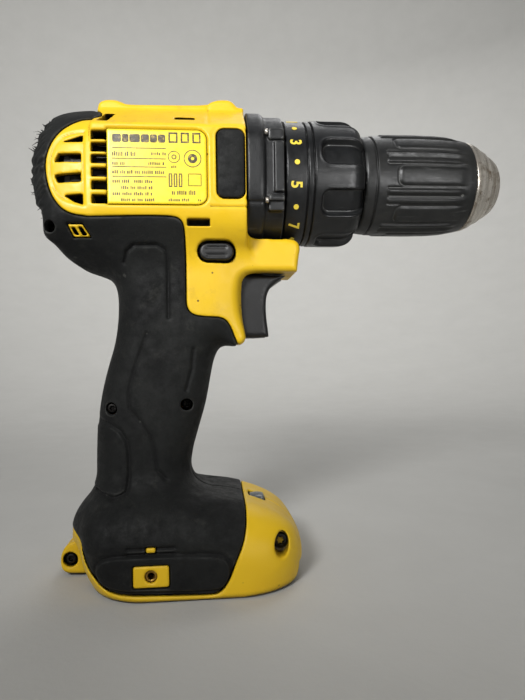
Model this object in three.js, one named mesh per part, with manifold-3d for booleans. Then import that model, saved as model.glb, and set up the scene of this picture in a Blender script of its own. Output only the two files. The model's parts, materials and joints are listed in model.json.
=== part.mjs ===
// Cordless drill driver, bare tool, as an assembly of separate pieces.
// Millimetres, +X towards the chuck's nose, +Y to the user's left, +Z up.
// The object stands on its battery foot at Z = 0, and Y = 0 is the joint of the housing halves.
// Everything is drawn about the chuck axis, and the whole group is raised by AXIS_HEIGHT.

import * as THREE from 'three';
import { mergeVertices } from 'three/addons/utils/BufferGeometryUtils.js';
import Module from 'manifold-3d';

const wasm = await Module();
wasm.setup();

// ---------------------------------------------------------------- driving dimensions

const AXIS_HEIGHT = 157.5;      // chuck axis above the foot's underside
const REAR_X = -94.5;           // back of the rear bumper
const NOSE_X = 94.5;            // front of the chuck's steel nose
const GAP = 0.3;                // clearance between pieces that touch or run

const BARREL_HALF_WIDTH = 27;
const BARREL_TOP = 27.5;
const HANDLE_HALF_WIDTH = 17;
const TRIGGER_AREA_HALF_WIDTH = 14;
const FOOT_HALF_WIDTH = 33;
const BARREL_CAVITY_R = 23.4;
const HANDLE_CAVITY_HALF_WIDTH = 12.5;
const RUBBER = 1.9;             // thickness of the soft overmould

const CASE_FRONT_X = -12.5;     // where the housing ends and the gear case shows
const CASE_R = 25.8;            // visible band of the gear case
const COLLAR_X = [2.4, 34];     // torque collar, number ring included
const COLLAR_R = 25.3;
const SCOOP_COUNT = 9;

const SLEEVE_X = [39, 80];      // keyless chuck sleeve
const SLEEVE_R = 20.6;
const CHUCK_BODY_R = 17.1;
const NOSE_R = 9.2;

const JAW_ANGLE = THREE.MathUtils.degToRad(13.5);
const JAW_TRAVEL = 27;
const JAW_LENGTH = 23;
const JAW_R = 3;
const JAW_CLOSED_TIP_X = 95;
const JAW_CLOSED_OFFSET = 2;    // height of a jaw's own axis over the chuck axis, at its closed tip

const MODULE_MM = 0.9;          // gear tooth module, both planetary stages
const SUN_TEETH = 12;
const PLANET_TEETH = 15;
const RING_TEETH = 42;
const PLANETS = 3;
const BACKLASH = 0.45;

const MOTOR_X = [-77, -36];
const MOTOR_R = 22.6;

const FOOT_BOTTOM = -AXIS_HEIGHT;
const BAY_ROOF = FOOT_BOTTOM + 21;
const BAY_X = [-73, 20];
const BAY_HALF_WIDTH = 25;
const RAIL_HALF_GAP = 21.8;       // half the distance between the two rail lips
const RAIL_Z = [2.2, 6];        // underside and top of the rail lips above the foot's underside

// ---------------------------------------------------------------- materials

function material(color, roughness, metalness = 0) {
  return new THREE.MeshStandardMaterial({ color, roughness, metalness });
}

const YELLOW = material(0xf0c52e, 0.42);
const RUBBER_BLACK = material(0x2b2d2f, 0.85);
const BLACK_PLASTIC = material(0x1f2022, 0.5);
const GREY_PLASTIC = material(0x3a3c3f, 0.55);
const LABEL = material(0xf2d23c, 0.35);
const STEEL = material(0x8d8a86, 0.35, 1);
const DARK_STEEL = material(0x3c3b3a, 0.45, 1);
const BRASS = material(0xb08d3c, 0.35, 1);
const COPPER = material(0xb06a3b, 0.4, 1);
const CARBON = material(0x222222, 0.8);
const MAGNET = material(0x2f3133, 0.6, 0.3);
const CLEAR = material(0xe6eef2, 0.1);
const GREEN_BOARD = material(0x1f5a36, 0.5);

// ---------------------------------------------------------------- solids

// A manifold solid from a three.js geometry, turned the right way out.
function solid(geometry) {
  const bare = geometry.index ? geometry.toNonIndexed() : geometry.clone();
  bare.deleteAttribute('normal');
  bare.deleteAttribute('uv');
  const merged = mergeVertices(bare, 1e-4);
  const at = merged.attributes.position;
  const corners = [];
  let volume = 0;
  for (let i = 0; i < merged.index.count; i += 3) {
    const [a, b, c] = [0, 1, 2].map((k) => merged.index.getX(i + k));
    if (a === b || b === c || c === a) continue;
    corners.push([a, b, c]);
    const [p, q, r] = [a, b, c].map((k) => new THREE.Vector3().fromBufferAttribute(at, k));
    volume += p.dot(q.cross(r));
  }
  const order = volume < 0 ? ([a, b, c]) => [a, c, b] : (t) => t;
  return new wasm.Manifold(new wasm.Mesh({
    numProp: 3,
    vertProperties: new Float32Array(at.array),
    triVerts: new Uint32Array(corners.flatMap(order)),
  }));
}

function join(...solids) {
  return solids.reduce((a, b) => a.add(b));
}

function cut(body, ...tools) {
  return tools.reduce((a, b) => a.subtract(b), body);
}

// The largest body of a solid: a cut can leave a sliver that no real moulding has.
function largest(body) {
  return body.decompose().sort((a, b) => b.volume() - a.volume())[0];
}

function box(x, y, z) {
  const geometry = new THREE.BoxGeometry(x[1] - x[0], y[1] - y[0], z[1] - z[0]);
  geometry.translate((x[0] + x[1]) / 2, (y[0] + y[1]) / 2, (z[0] + z[1]) / 2);
  return solid(geometry);
}

function shapeOf(points) {
  return new THREE.Shape(points.map(([u, v]) => new THREE.Vector2(u, v)));
}

// Prism along Y of an (x, z) outline, with rounded edges of the given bevel.
function plate(points, y, bevel = 0, bevelSegments = 1) {
  const geometry = new THREE.ExtrudeGeometry(shapeOf(points), {
    depth: y[1] - y[0] - 2 * bevel,
    bevelEnabled: bevel > 0,
    bevelThickness: bevel,
    bevelSize: bevel,
    bevelOffset: -bevel,
    bevelSegments,
    steps: 1,
  });
  geometry.rotateX(Math.PI / 2);
  geometry.translate(0, y[1] - bevel, 0);
  return solid(geometry);
}

// Prism along X of a (y, z) outline.
function bar(points, x) {
  const geometry = new THREE.ExtrudeGeometry(shapeOf(points), {
    depth: x[1] - x[0],
    bevelEnabled: false,
  });
  const basis = new THREE.Matrix4().makeBasis(
    new THREE.Vector3(0, 1, 0),
    new THREE.Vector3(0, 0, 1),
    new THREE.Vector3(1, 0, 0),
  );
  geometry.applyMatrix4(basis);
  geometry.translate(x[0], 0, 0);
  return solid(geometry);
}

// Prism along Z of an (x, y) outline.
function column(points, z) {
  const geometry = new THREE.ExtrudeGeometry(shapeOf(points), {
    depth: z[1] - z[0],
    bevelEnabled: false,
  });
  geometry.translate(0, 0, z[0]);
  return solid(geometry);
}

// Solid of revolution about the chuck axis from an (x, radius) profile.
function turned(profile, sides = 36) {
  const points = profile.map(([x, r]) => new THREE.Vector2(r, x));
  const geometry = new THREE.LatheGeometry(points, sides);
  geometry.rotateZ(-Math.PI / 2);
  return solid(geometry);
}

// A ring or tube about the chuck axis.
function ring(x, inner, outer, sides = 36) {
  return turned([
    [x[0], inner],
    [x[0], outer],
    [x[1], outer],
    [x[1], inner],
    [x[0], inner],
  ], sides);
}

function rodX(r, x, y = 0, z = 0, sides = 24) {
  const geometry = new THREE.CylinderGeometry(r, r, x[1] - x[0], sides);
  geometry.rotateZ(-Math.PI / 2);
  geometry.translate((x[0] + x[1]) / 2, y, z);
  return solid(geometry);
}

function rodY(r, y, x, z, sides = 16) {
  const geometry = new THREE.CylinderGeometry(r, r, y[1] - y[0], sides);
  geometry.translate(x, (y[0] + y[1]) / 2, z);
  return solid(geometry);
}

// Helical wire about the X axis.
function coil(x, radius, wireR, turns, stepsPerTurn) {
  class Helix extends THREE.Curve {
    getPoint(t) {
      const angle = 2 * Math.PI * turns * t;
      const along = x[0] + wireR + t * (x[1] - x[0] - 2 * wireR);
      return new THREE.Vector3(along, radius * Math.cos(angle), radius * Math.sin(angle));
    }
  }
  const section = new THREE.Shape().absarc(0, 0, wireR, 0, 2 * Math.PI);
  return solid(new THREE.ExtrudeGeometry(section, {
    extrudePath: new Helix(),
    steps: Math.round(turns * stepsPerTurn),
    curveSegments: 3,
    bevelEnabled: false,
  }));
}

// An outline moved inwards by a distance, or outwards where it is negative.
// An edge that the move would turn round is too short for it, and its two ends become one.
function inset(points, distance) {
  if (distance === 0) return points;
  const outline = points.map(([u, v]) => new THREE.Vector2(u, v));
  const side = Math.sign(THREE.ShapeUtils.area(outline)) * distance;
  const moved = outline.map((point, i) => {
    const before = outline.at(i - 1);
    const after = outline[(i + 1) % outline.length];
    const a = point.clone().sub(before).normalize();
    const b = after.clone().sub(point).normalize();
    const normal = new THREE.Vector2(-a.y - b.y, a.x + b.x).normalize();
    const lean = Math.max(0.5, normal.dot(new THREE.Vector2(-a.y, a.x)));
    return point.clone().addScaledVector(normal, side / lean);
  });
  const turned = moved.findIndex((point, i) => {
    const next = (i + 1) % moved.length;
    return moved[next].clone().sub(point).dot(outline[next].clone().sub(outline[i])) <= 0;
  });
  if (turned < 0) return moved.map(({ x, y }) => [x, y]);
  const next = (turned + 1) % outline.length;
  const middle = outline[turned].clone().lerp(outline[next], 0.5);
  const simpler = points.map((point, i) => (i === turned ? [middle.x, middle.y] : point));
  return inset(simpler.filter((_, i) => i !== next), distance);
}

// ---------------------------------------------------------------- side outlines, (x, z) from the chuck axis

const BARREL_OUTLINE = [
  [-12.5, 27.5], [-60, 27.5], [-70, 26], [-80.6, 24.4], [-86, 22], [-90.5, 16.5], [-93.3, 10.5],
  [-94.5, 4], [-94.2, -4], [-92.6, -10.5], [-90, -16.5], [-89.2, -22.8], [-86, -27],
  [-80, -30.6], [-72, -35.5], [-66, -39.3], [-63, -45], [-12.5, -45],
];

const HANDLE_OUTLINE = [
  [-80, -18], [-82, -28.5], [-78, -32], [-72, -35.5], [-66, -39.3], [-63.2, -45], [-63, -54],
  [-64.2, -64], [-67.2, -74], [-70, -84], [-71.6, -96], [-72.1, -118], [-74.2, -127], [-79.3, -134],
  [-30, -134], [-34.5, -121], [-36, -113], [-34.4, -105.8], [-31.2, -96], [-28.6, -87],
  [-27, -77], [-25.5, -70.5], [-20.9, -65.5], [-15.5, -62.5], [-15.5, -18],
];

const TRIGGER_AREA_OUTLINE = [
  [-40, -15], [-40, -60], [-21, -64.5], [-14.4, -66], [-12.8, -64.2], [-13.3, -62], [-15.2, -57.5],
  [-16.8, -52], [-17.2, -47], [-16.6, -42], [-14.8, -39.4], [-11.5, -37.9], [7.8, -37.9],
  [8.9, -28.8], [6.9, -25.8], [2, -24], [2, -15],
];

const FOOT_OUTLINE = [
  [-36, -121.6], [-14, -123], [-6, -125], [-0.6, -128.1], [3.2, -132.6], [5.6, -138.2], [6.6, -144],
  [5.4, -149.5], [1.9, -154], [-3, FOOT_BOTTOM], [-3, FOOT_BOTTOM - 6],
  [-68, FOOT_BOTTOM - 6], [-68, FOOT_BOTTOM], [-72.5, -155],
  [-76, -150.5], [-80.6, -143.5], [-80.4, -138.5], [-79, -133.5], [-75, -128], [-68, -124.5],
];

// Where the soft overmould covers the housing: rear bumper, grip and the foot's side.
const GRIP_AREA = [
  [-69.8, 40], [-69.8, 16.6], [-75.2, 15.7], [-79.5, 13.3], [-83.5, 7.1], [-85.7, -0.2],
  [-84.4, -8.2], [-81.7, -14], [-77.5, -18.4], [-70.3, -19.8], [-39.4, -19.3], [-36.1, -22.9],
  [-36, -50], [-33.6, -54.3], [-30, -55.8], [-23.2, -56], [-20, -58.5], [-16.6, -65.5],
  [-10, -80], [-12, -118], [-15.2, -123.3], [-14.5, -130], [-16, -138], [-18.8, -144.2],
  [-21.4, -151], [-25, -155], [-64, -154.4], [-68.5, -150.5], [-72, -145], [-74.5, -138.5],
  [-82, -137.5], [-120, -137.5], [-120, 40],
];

const SECTION_FLAT = [-16, 12]; // the barrel's side is flat between these heights

// Barrel section in (y, z): flat sides, round top, open downwards to the handle.
function barrelSection(shrink) {
  const w = BARREL_HALF_WIDTH - shrink;
  const top = BARREL_TOP - shrink;
  const half = [[w, SECTION_FLAT[0]], [w, SECTION_FLAT[1]]];
  for (const turn of [22, 44, 66]) {
    const angle = THREE.MathUtils.degToRad(turn);
    half.push([
      11 + (w - 11) * Math.cos(angle),
      SECTION_FLAT[1] + (top - SECTION_FLAT[1]) * Math.sin(angle),
    ]);
  }
  half.push([10, top]);
  const bottom = [[14, -50], [16, -33 + shrink], [22, -25 + shrink], [25.5 - shrink, -20.5]];
  const right = [...bottom, ...half];
  const left = right.map(([y, z]) => [-y, z]).reverse();
  return [...right, ...left];
}

// Plan outline in (x, y) that rounds the barrel's back end.
function barrelPlan(shrink) {
  const w = BARREL_HALF_WIDTH - shrink;
  const back = REAR_X + shrink;
  const half = [[CASE_FRONT_X, w], [-68, w], [-78, w - 1.8], [-86, w - 5.5], [-91, w - 10], [back, w - 16]];
  return [...half, ...half.map(([x, y]) => [x, -y]).reverse()];
}

const BUTTON = { x: [-30.8, -17.5], z: [-34.4, -27.6], halfLength: 19 };
const TRIGGER_SLOT = { halfWidth: 9.4, z: [-63.5, -37.9] };

const BELOW_FOOT = box([-120, 60], [-60, 60], [FOOT_BOTTOM - 10, FOOT_BOTTOM]);

// The whole outer shape of housing and overmould, less an even skin.
function outerBody(shrink) {
  const side = plate(inset(BARREL_OUTLINE, shrink), [-40, 40]);
  const barrel = bar(barrelSection(shrink), [REAR_X - 2, CASE_FRONT_X])
    .intersect(side)
    .intersect(column(barrelPlan(shrink), [-60, 40]));
  const rounded = (outline, halfWidth, edge, segments) => plate(
    inset(outline, shrink),
    [shrink - halfWidth, halfWidth - shrink],
    Math.max(0, edge - shrink),
    segments,
  );
  return join(
    barrel,
    rounded(HANDLE_OUTLINE, HANDLE_HALF_WIDTH, 5, 2),
    rounded(TRIGGER_AREA_OUTLINE, TRIGGER_AREA_HALF_WIDTH, 1.2),
    rounded(FOOT_OUTLINE, FOOT_HALF_WIDTH, 4).subtract(BELOW_FOOT),
  );
}

// ---------------------------------------------------------------- fastener places

// Each screw goes in from the right: its head's outer face and its tip are heights in Y.
const SCREWS = [
  { name: 'rear_screw', x: -85, z: -21.3, face: -15, tip: 9 },
  { name: 'grip_screw_rear', x: -65, z: -90.5, face: -13.5, tip: 9 },
  { name: 'grip_screw_front', x: -36.5, z: -89.6, face: -13.5, tip: 9 },
  { name: 'foot_lug_screw', x: -81.2, z: -148.2, face: -5, tip: 4 },
  { name: 'foot_nose_screw', x: -1.7, z: -141, face: -31, tip: -26 },
];
const BOSS_SCREWS = SCREWS.slice(0, 3);
const SCREW_HEAD_R = 3;
const SCREW_HEAD_HEIGHT = 2.4;
const SCREW_SHANK_R = 1.5;
const SCREW_SOCKET_DEPTH = 1.4;
const SCREW_BOSS_R = 3.6;

function screwSolid({ x, z, face, tip }) {
  const under = face + SCREW_HEAD_HEIGHT;
  const head = rodY(SCREW_HEAD_R, [face, under], x, z, 10);
  const shank = rodY(SCREW_SHANK_R, [under - 0.4, tip], x, z, 6);
  const socket = rodY(SCREW_SHANK_R, [face - 1, face + SCREW_SOCKET_DEPTH], x, z, 6);
  return cut(join(head, shank), socket);
}

function screwHole({ x, z, face, tip }) {
  const under = face + SCREW_HEAD_HEIGHT + GAP;
  const counterbore = rodY(SCREW_HEAD_R + GAP, [-40, under], x, z, 10);
  const bore = rodY(SCREW_SHANK_R + GAP, [face, tip + GAP], x, z, 6);
  return join(counterbore, bore);
}

// ---------------------------------------------------------------- housing halves and overmould

const OUTER = outerBody(0);
const SPLIT = GAP / 2;

const LUG_R = 4.4;
const LUG_X = -81.2;
const LUG_Z = -148.2;
const LUG_HALF_WIDTH = 6;

// The screw lug at the back of the foot, or the room that it needs in the overmould.
function lug(margin) {
  const y = [-LUG_HALF_WIDTH - margin, LUG_HALF_WIDTH + margin];
  return join(
    rodY(LUG_R + margin, y, LUG_X, LUG_Z, 16),
    box([LUG_X - margin, -71], y, [-152.5 - margin, -143.5 + margin]),
  );
}

function ventSlots() {
  const slots = [];
  for (let i = 0; i < 6; i += 1) {
    const top = 10.9 - i * 5.15;
    slots.push(box([-68.6, -63.6], [-40, 40], [top - 3.9, top]));
  }
  return slots;
}

const BAY = join(
  box(BAY_X, [-BAY_HALF_WIDTH, BAY_HALF_WIDTH], [FOOT_BOTTOM + RAIL_Z[1], BAY_ROOF]),
  box(BAY_X, [-RAIL_HALF_GAP, RAIL_HALF_GAP], [FOOT_BOTTOM - 5, BAY_ROOF]),
  box(BAY_X, [-BAY_HALF_WIDTH, BAY_HALF_WIDTH], [FOOT_BOTTOM - 5, FOOT_BOTTOM + RAIL_Z[0]]),
);

const TRIGGER_OPENING = box(
  [-30, 20],
  [-TRIGGER_SLOT.halfWidth, TRIGGER_SLOT.halfWidth],
  TRIGGER_SLOT.z,
);

const HANDLE_HOLLOW = plate(
  inset(HANDLE_OUTLINE, 4.6),
  [-HANDLE_CAVITY_HALF_WIDTH, HANDLE_CAVITY_HALF_WIDTH],
).subtract(box([-100, 40], [-40, 40], [-170, BAY_ROOF + 3]));

const HOUSING_CUTS = [
  rodX(BARREL_CAVITY_R, [-88, 10], 0, 0, 28),
  rodX(CASE_R + 0.6, [CASE_FRONT_X, 12], 0, 0, 28),
  HANDLE_HOLLOW,
  BAY,
  box([-70, -16], [-27, 27], [BAY_ROOF + 2.5, BAY_ROOF + 8.5]),
  TRIGGER_OPENING,
  box([BUTTON.x[0] - GAP, BUTTON.x[1] + GAP], [-40, 40], [BUTTON.z[0] - GAP, BUTTON.z[1] + GAP]),
  box([-30, -17], [-10, 10], [-38.5, -24]),
  box([-56, -26], [-8.3, 8.3], [20, 30]),
  box([-14, -4], [-4.3, 4.3], [-136, -120]),
  ...ventSlots(),
];

// Raised rails each side of the speed slider.
function topRails() {
  const outline = [
    [-69, 24], [-69, 28], [-66, 29.8], [-61.5, 29.8], [-58.5, 28.2], [-27.5, 28.8], [-24, 30.6],
    [-18.6, 30.8], [-15.2, 28.2], [-14, 24],
  ];
  return join(plate(outline, [-16, -10]), plate(outline, [10, 16]));
}

const LABEL_X = [-63, -27.3];
const LABEL_Z = [-15.4, 11.6];
const PAD_X = [-23.4, -13.6];
const PAD_Z = [-12.7, 12.2];
const PLATE_DEPTH = 0.8;

const PLATE_RECESSES = [-1, 1].flatMap((side) => {
  const y = [side * (BARREL_HALF_WIDTH - PLATE_DEPTH - 0.2), side * 40].sort((a, b) => a - b);
  return [
    box([LABEL_X[0] - GAP, LABEL_X[1] + GAP], y, [LABEL_Z[0] - GAP, LABEL_Z[1] + GAP]),
    box([PAD_X[0] - GAP, PAD_X[1] + GAP], y, [PAD_Z[0] - GAP, PAD_Z[1] + GAP]),
  ];
});

const NUT_X = -48.8;             // belt hook nuts, one in each side of the foot
const NUT_Z = -148;
const NUT_R = 3.2;
const NUT_THREAD_R = 1.8;
const NUT_Y = [28.4, 32.6];
const NUT_HOLES = [-1, 1].map((side) => (
  rodY(NUT_R + GAP, [side * 27, side * 40].sort((a, b) => a - b), NUT_X, NUT_Z, 12)
));

const SCREW_HOLES = SCREWS.map(screwHole);

// Where the battery terminals pass from the handle into the bay.
const HANDLE_FLOOR_PORT = box([-68, -42], [-9, 9], [BAY_ROOF - 2, BAY_ROOF + 12]);

function half(body, side) {
  const keep = side < 0 ? [-60, -SPLIT] : [SPLIT, 60];
  return largest(body.intersect(box([-120, 60], keep, [-180, 60])));
}

function housing() {
  const skin = plate(inset(GRIP_AREA, -GAP), [-60, 60]).subtract(outerBody(RUBBER + GAP));
  const bosses = BOSS_SCREWS.map(({ x, z }) => rodY(SCREW_BOSS_R, [-13, 13], x, z, 8));
  const shell = cut(OUTER.add(topRails()), ...HOUSING_CUTS, ...PLATE_RECESSES);
  const whole = join(shell, ...bosses).subtract(skin).add(lug(0));
  return cut(whole, ...SCREW_HOLES, ...NUT_HOLES, HANDLE_FLOOR_PORT);
}

function grip() {
  const skin = OUTER
    .subtract(outerBody(RUBBER))
    .intersect(plate(GRIP_AREA, [-60, 60]));
  return cut(skin, ...SCREW_HOLES, ...NUT_HOLES, BAY, TRIGGER_OPENING, lug(GAP));
}

// ---------------------------------------------------------------- gears

// A spur gear outline with straight-sided teeth, its first tooth or gap centred on phase.
function gearOutline(teeth, { outerR, rootR, tipWidth, rootWidth }, phase) {
  const points = [];
  for (let i = 0; i < teeth; i += 1) {
    const centre = phase + (2 * Math.PI * i) / teeth;
    const tip = tipWidth / 2 / outerR;
    const root = rootWidth / 2 / rootR;
    for (const [angle, r] of [[-root, rootR], [-tip, outerR], [tip, outerR], [root, rootR]]) {
      points.push([r * Math.cos(centre + angle), r * Math.sin(centre + angle)]);
    }
  }
  return points;
}

const TOOTH = Math.PI * MODULE_MM / 2 - BACKLASH;
const EXTERNAL = (teeth) => ({
  outerR: (teeth * MODULE_MM) / 2 + 0.7 * MODULE_MM,
  rootR: (teeth * MODULE_MM) / 2 - MODULE_MM,
  tipWidth: TOOTH * 0.5,
  rootWidth: TOOTH * 1.45,
});
const INTERNAL_GAP = {
  outerR: (RING_TEETH * MODULE_MM) / 2 + MODULE_MM,
  rootR: (RING_TEETH * MODULE_MM) / 2 - 0.7 * MODULE_MM,
  tipWidth: TOOTH * 1.15,
  rootWidth: TOOTH * 1.9 + 2 * BACKLASH * 0.4,
};
const ORBIT_R = (MODULE_MM * (SUN_TEETH + PLANET_TEETH)) / 2;

function gear(teeth, x, phase = 0) {
  return bar(gearOutline(teeth, EXTERNAL(teeth), phase), x);
}

function ringGear(x) {
  const hole = bar(gearOutline(RING_TEETH, INTERNAL_GAP, 0), [x[0] - 1, x[1] + 1]);
  return rodX(21.4, x, 0, 0, 21).subtract(hole);
}

function planetPlace(i) {
  const angle = (2 * Math.PI * i) / PLANETS;
  return { angle, y: ORBIT_R * Math.cos(angle), z: ORBIT_R * Math.sin(angle) };
}

function planet(x, i) {
  const { angle, y, z } = planetPlace(i);
  const body = gear(PLANET_TEETH, x).subtract(rodX(2.3, [x[0] - 1, x[1] + 1], 0, 0, 12));
  return body.rotate([THREE.MathUtils.radToDeg(angle), 0, 0]).translate([0, y, z]);
}

function carrierPins(x) {
  return Array.from({ length: PLANETS }, (_, i) => {
    const { y, z } = planetPlace(i);
    return rodX(1.9, x, y, z, 10);
  });
}

// ---------------------------------------------------------------- chuck

// A jaw's own frame: X along its slide, its axis passing the closed tip.
function jawPlaced(body, index, slide) {
  const shift = slide - JAW_TRAVEL;
  return body
    .translate([shift, 0, 0])
    .rotate([0, THREE.MathUtils.radToDeg(JAW_ANGLE), 0])
    .translate([JAW_CLOSED_TIP_X, 0, JAW_CLOSED_OFFSET])
    .rotate([(360 / 3) * index, 0, 0]);
}

function jaw(index) {
  const rod = rodX(JAW_R, [-JAW_LENGTH, 0], 0, 0, 16)
    .rotate([0, THREE.MathUtils.radToDeg(JAW_ANGLE), 0])
    .translate([JAW_CLOSED_TIP_X, 0, JAW_CLOSED_OFFSET]);
  const wedge = [[0, 0.35], [20, 0.35 + 20 * Math.tan(Math.PI / 6)], [20, 40], [-20, 40],
    [-20, 0.35 + 20 * Math.tan(Math.PI / 6)]];
  const ground = rod.intersect(bar(wedge, [0, JAW_CLOSED_TIP_X - 0.4]));
  const back = [-JAW_TRAVEL * Math.cos(JAW_ANGLE), 0, JAW_TRAVEL * Math.sin(JAW_ANGLE)];
  return ground.translate(back).rotate([(360 / 3) * index, 0, 0]);
}

function chuckBody() {
  const nose = SLEEVE_X[1] + GAP;
  const profile = [
    [37, 6.7], [37, 14], [39.5, CHUCK_BODY_R], [57.2, CHUCK_BODY_R], [57.2, 14], [64.8, 14],
    [64.8, CHUCK_BODY_R], [nose, CHUCK_BODY_R], [nose, 18.3], [83.5, 17.4], [86.2, 15.2],
    [88.3, 14.6], [91.5, 12.4], [93.6, 10.6], [NOSE_X, NOSE_R], [NOSE_X, 7.6], [93, 7],
    [52.3, 7], [52.3, 5.2], [48.6, 5.2], [48.6, 6.7], [37, 6.7],
  ];
  const holes = [0, 1, 2].map((i) => jawPlaced(
    rodX(JAW_R + 0.25, [-53, 40], 0, 0, 14),
    i,
    JAW_TRAVEL,
  ));
  return cut(turned(profile, 24), ...holes);
}

function chuckSleeve() {
  const body = turned([
    [SLEEVE_X[0], CHUCK_BODY_R + 0.4], [SLEEVE_X[0], 19.6], [40, SLEEVE_R], [66, SLEEVE_R],
    [74, 20], [SLEEVE_X[1] - 1, 18.8], [SLEEVE_X[1], 18.2], [SLEEVE_X[1], CHUCK_BODY_R + 0.4],
    [SLEEVE_X[0], CHUCK_BODY_R + 0.4],
  ], 27);
  const scoops = Array.from({ length: SCOOP_COUNT }, (_, i) => (
    box([46, 72], [-3.4, 3.4], [SLEEVE_R - 0.7, 30]).rotate([(360 / SCOOP_COUNT) * i + 90, 0, 0])
  ));
  return cut(body, ...scoops);
}

// ---------------------------------------------------------------- torque collar and clutch

function torqueCollar() {
  const [back, front] = COLLAR_X;
  const body = turned([
    [back, 21], [back, COLLAR_R - 0.6], [back + 0.6, COLLAR_R - 0.2], [10.6, COLLAR_R - 0.2],
    [10.6, COLLAR_R - 1], [13.2, COLLAR_R - 1], [13.2, COLLAR_R], [front - 6, COLLAR_R - 0.4],
    [front - 1.5, COLLAR_R - 3.2], [front, COLLAR_R - 5], [front, 15.6], [front - 2.4, 15.6],
    [front - 2.4, 21], [back, 21],
  ], 27);
  const scoops = Array.from({ length: SCOOP_COUNT }, (_, i) => (
    box([16, 40], [-4.6, 4.6], [COLLAR_R - 1.9, 40])
      .rotate([(360 / SCOOP_COUNT) * i - 73, 0, 0])
  ));
  return cut(body, ...scoops);
}

function gearCase() {
  const profile = [
    [-27, 21.8], [-27, 23], [CASE_FRONT_X + GAP, 23], [CASE_FRONT_X + GAP, CASE_R],
    [-5.6, CASE_R], [-5.6, CASE_R - 1], [-2.2, CASE_R - 1], [-2.2, CASE_R], [0.6, CASE_R],
    [2, CASE_R - 0.6], [2, 14.6], [31, 14.6], [31, 12.4], [23.6, 12.4], [23.6, 8.2], [1.2, 8.2],
    [1.2, 21.8], [-27, 21.8],
  ];
  const band = turned(profile, 24);
  const pointer = box([-7, 1.4], [-1.6, 1.6], [CASE_R - 0.6, CASE_R + 0.9]);
  return band.add(pointer);
}

// ---------------------------------------------------------------- trigger and controls

const TRIGGER_OUTLINE = [
  [2.6, -38.3], [-1, -40.6], [-3.4, -43.6], [-4.2, -47.5], [-4.2, -53], [-3.7, -58], [-3.3, -63],
  [-13.5, -63], [-21, -63], [-21, -38.3],
];

function trigger() {
  const lever = plate(TRIGGER_OUTLINE, [-8.6, 8.6], 1.5);
  const hollow = box([-22, -9], [-6.4, 6.4], [-61.6, -39.6]);
  return cut(lever, hollow);
}

function directionButton() {
  const [x0, x1] = BUTTON.x;
  const r = (BUTTON.z[1] - BUTTON.z[0]) / 2;
  const z = (BUTTON.z[0] + BUTTON.z[1]) / 2;
  const length = BUTTON.halfLength;
  return join(
    box([x0 + r, x1 - r], [-length, length], BUTTON.z),
    rodY(r, [-length, length], x0 + r, z, 12),
    rodY(r, [-length, length], x1 - r, z, 12),
  );
}

function speedSlider() {
  const cap = box([-48.5, -33.5], [-7.4, 7.4], [24.4, 28.2]);
  const ridges = [-46, -43.5, -38.5, -36].map((x) => box([x, x + 1.2], [-5.5, 5.5], [28, 28.9]));
  return join(cap, ...ridges);
}

// ---------------------------------------------------------------- assembly

const drill = new THREE.Group();
const aboutAxis = new THREE.Group();
aboutAxis.position.z = AXIS_HEIGHT;
drill.add(aboutAxis);

function add(name, body, finish) {
  const mesh = body.getMesh();
  const geometry = new THREE.BufferGeometry();
  geometry.setAttribute('position', new THREE.BufferAttribute(mesh.vertProperties, 3));
  geometry.setIndex(new THREE.BufferAttribute(mesh.triVerts, 1));
  const node = new THREE.Mesh(geometry, finish);
  node.name = name;
  aboutAxis.add(node);
}

const SIDES = [['right', -1], ['left', 1]];

const housingWhole = housing();
const gripWhole = grip();
for (const [word, side] of SIDES) {
  add(`housing_${word}`, half(housingWhole, side), YELLOW);
  add(`grip_${word}`, half(gripWhole, side), RUBBER_BLACK);
  const inner = side * (BARREL_HALF_WIDTH - PLATE_DEPTH + 0.1);
  const face = side * (BARREL_HALF_WIDTH + 0.1);
  const y = [inner, face].sort((a, b) => a - b);
  add(`rating_plate_${word}`, box(LABEL_X, y, LABEL_Z), LABEL);
  add(`side_pad_${word}`, box(PAD_X, y, PAD_Z), RUBBER_BLACK);
  const nut = rodY(NUT_R, NUT_Y.map((v) => side * v).sort((a, b) => a - b), NUT_X, NUT_Z, 12);
  const thread = rodY(NUT_THREAD_R, [-40, 40], NUT_X, NUT_Z, 10);
  add(`belt_hook_nut_${word}`, nut.subtract(thread), BRASS);
}

for (const place of SCREWS) {
  add(place.name, screwSolid(place), DARK_STEEL);
}

// Motor.
add('motor_can', ring(MOTOR_X, 21.2, MOTOR_R, 24), STEEL);
for (const [word, side] of [['upper', 1], ['lower', -1]]) {
  const arc = ring([-71, -41], 18.2, 20.8, 24)
    .intersect(box([-80, 0], [-17, 17], side > 0 ? [5, 30] : [-30, -5]));
  add(`magnet_${word}`, arc, MAGNET);
  const brushY = [-2.4, 2.4];
  const brushZ = side > 0 ? [8, 15] : [-15, -8];
  add(`carbon_brush_${word}`, box([-83, -79.6], brushY, brushZ), CARBON);
}
const endCap = turned([
  [-86.5, 6.3], [-86.5, 16.4], [-79.4, 16.8], [-79.4, 22], [MOTOR_X[0] - GAP, 22],
  [MOTOR_X[0] - GAP, 15.6], [-84.6, 15.6], [-84.6, 6.3], [-86.5, 6.3],
], 20);
add('motor_end_cap', endCap, BLACK_PLASTIC);
add('rear_bearing', ring([-88, -84], 2.8, 5.9, 16), STEEL);
add('armature', ring([-70, -42], 2.8, 17.4, 24), COPPER);
add('commutator', ring([-84, -73], 2.8, 7.4, 16), COPPER);
add('cooling_fan', cut(
  ring([-34.5, -29.5], 2.8, 20, 24),
  ...Array.from({ length: 8 }, (_, i) => (
    box([-36, -31], [-2.2, 2.2], [8, 30]).rotate([45 * i, 0, 0])
  )),
), BLACK_PLASTIC);
add('motor_shaft', rodX(2.45, [-88, -15], 0, 0, 12), STEEL);
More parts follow.
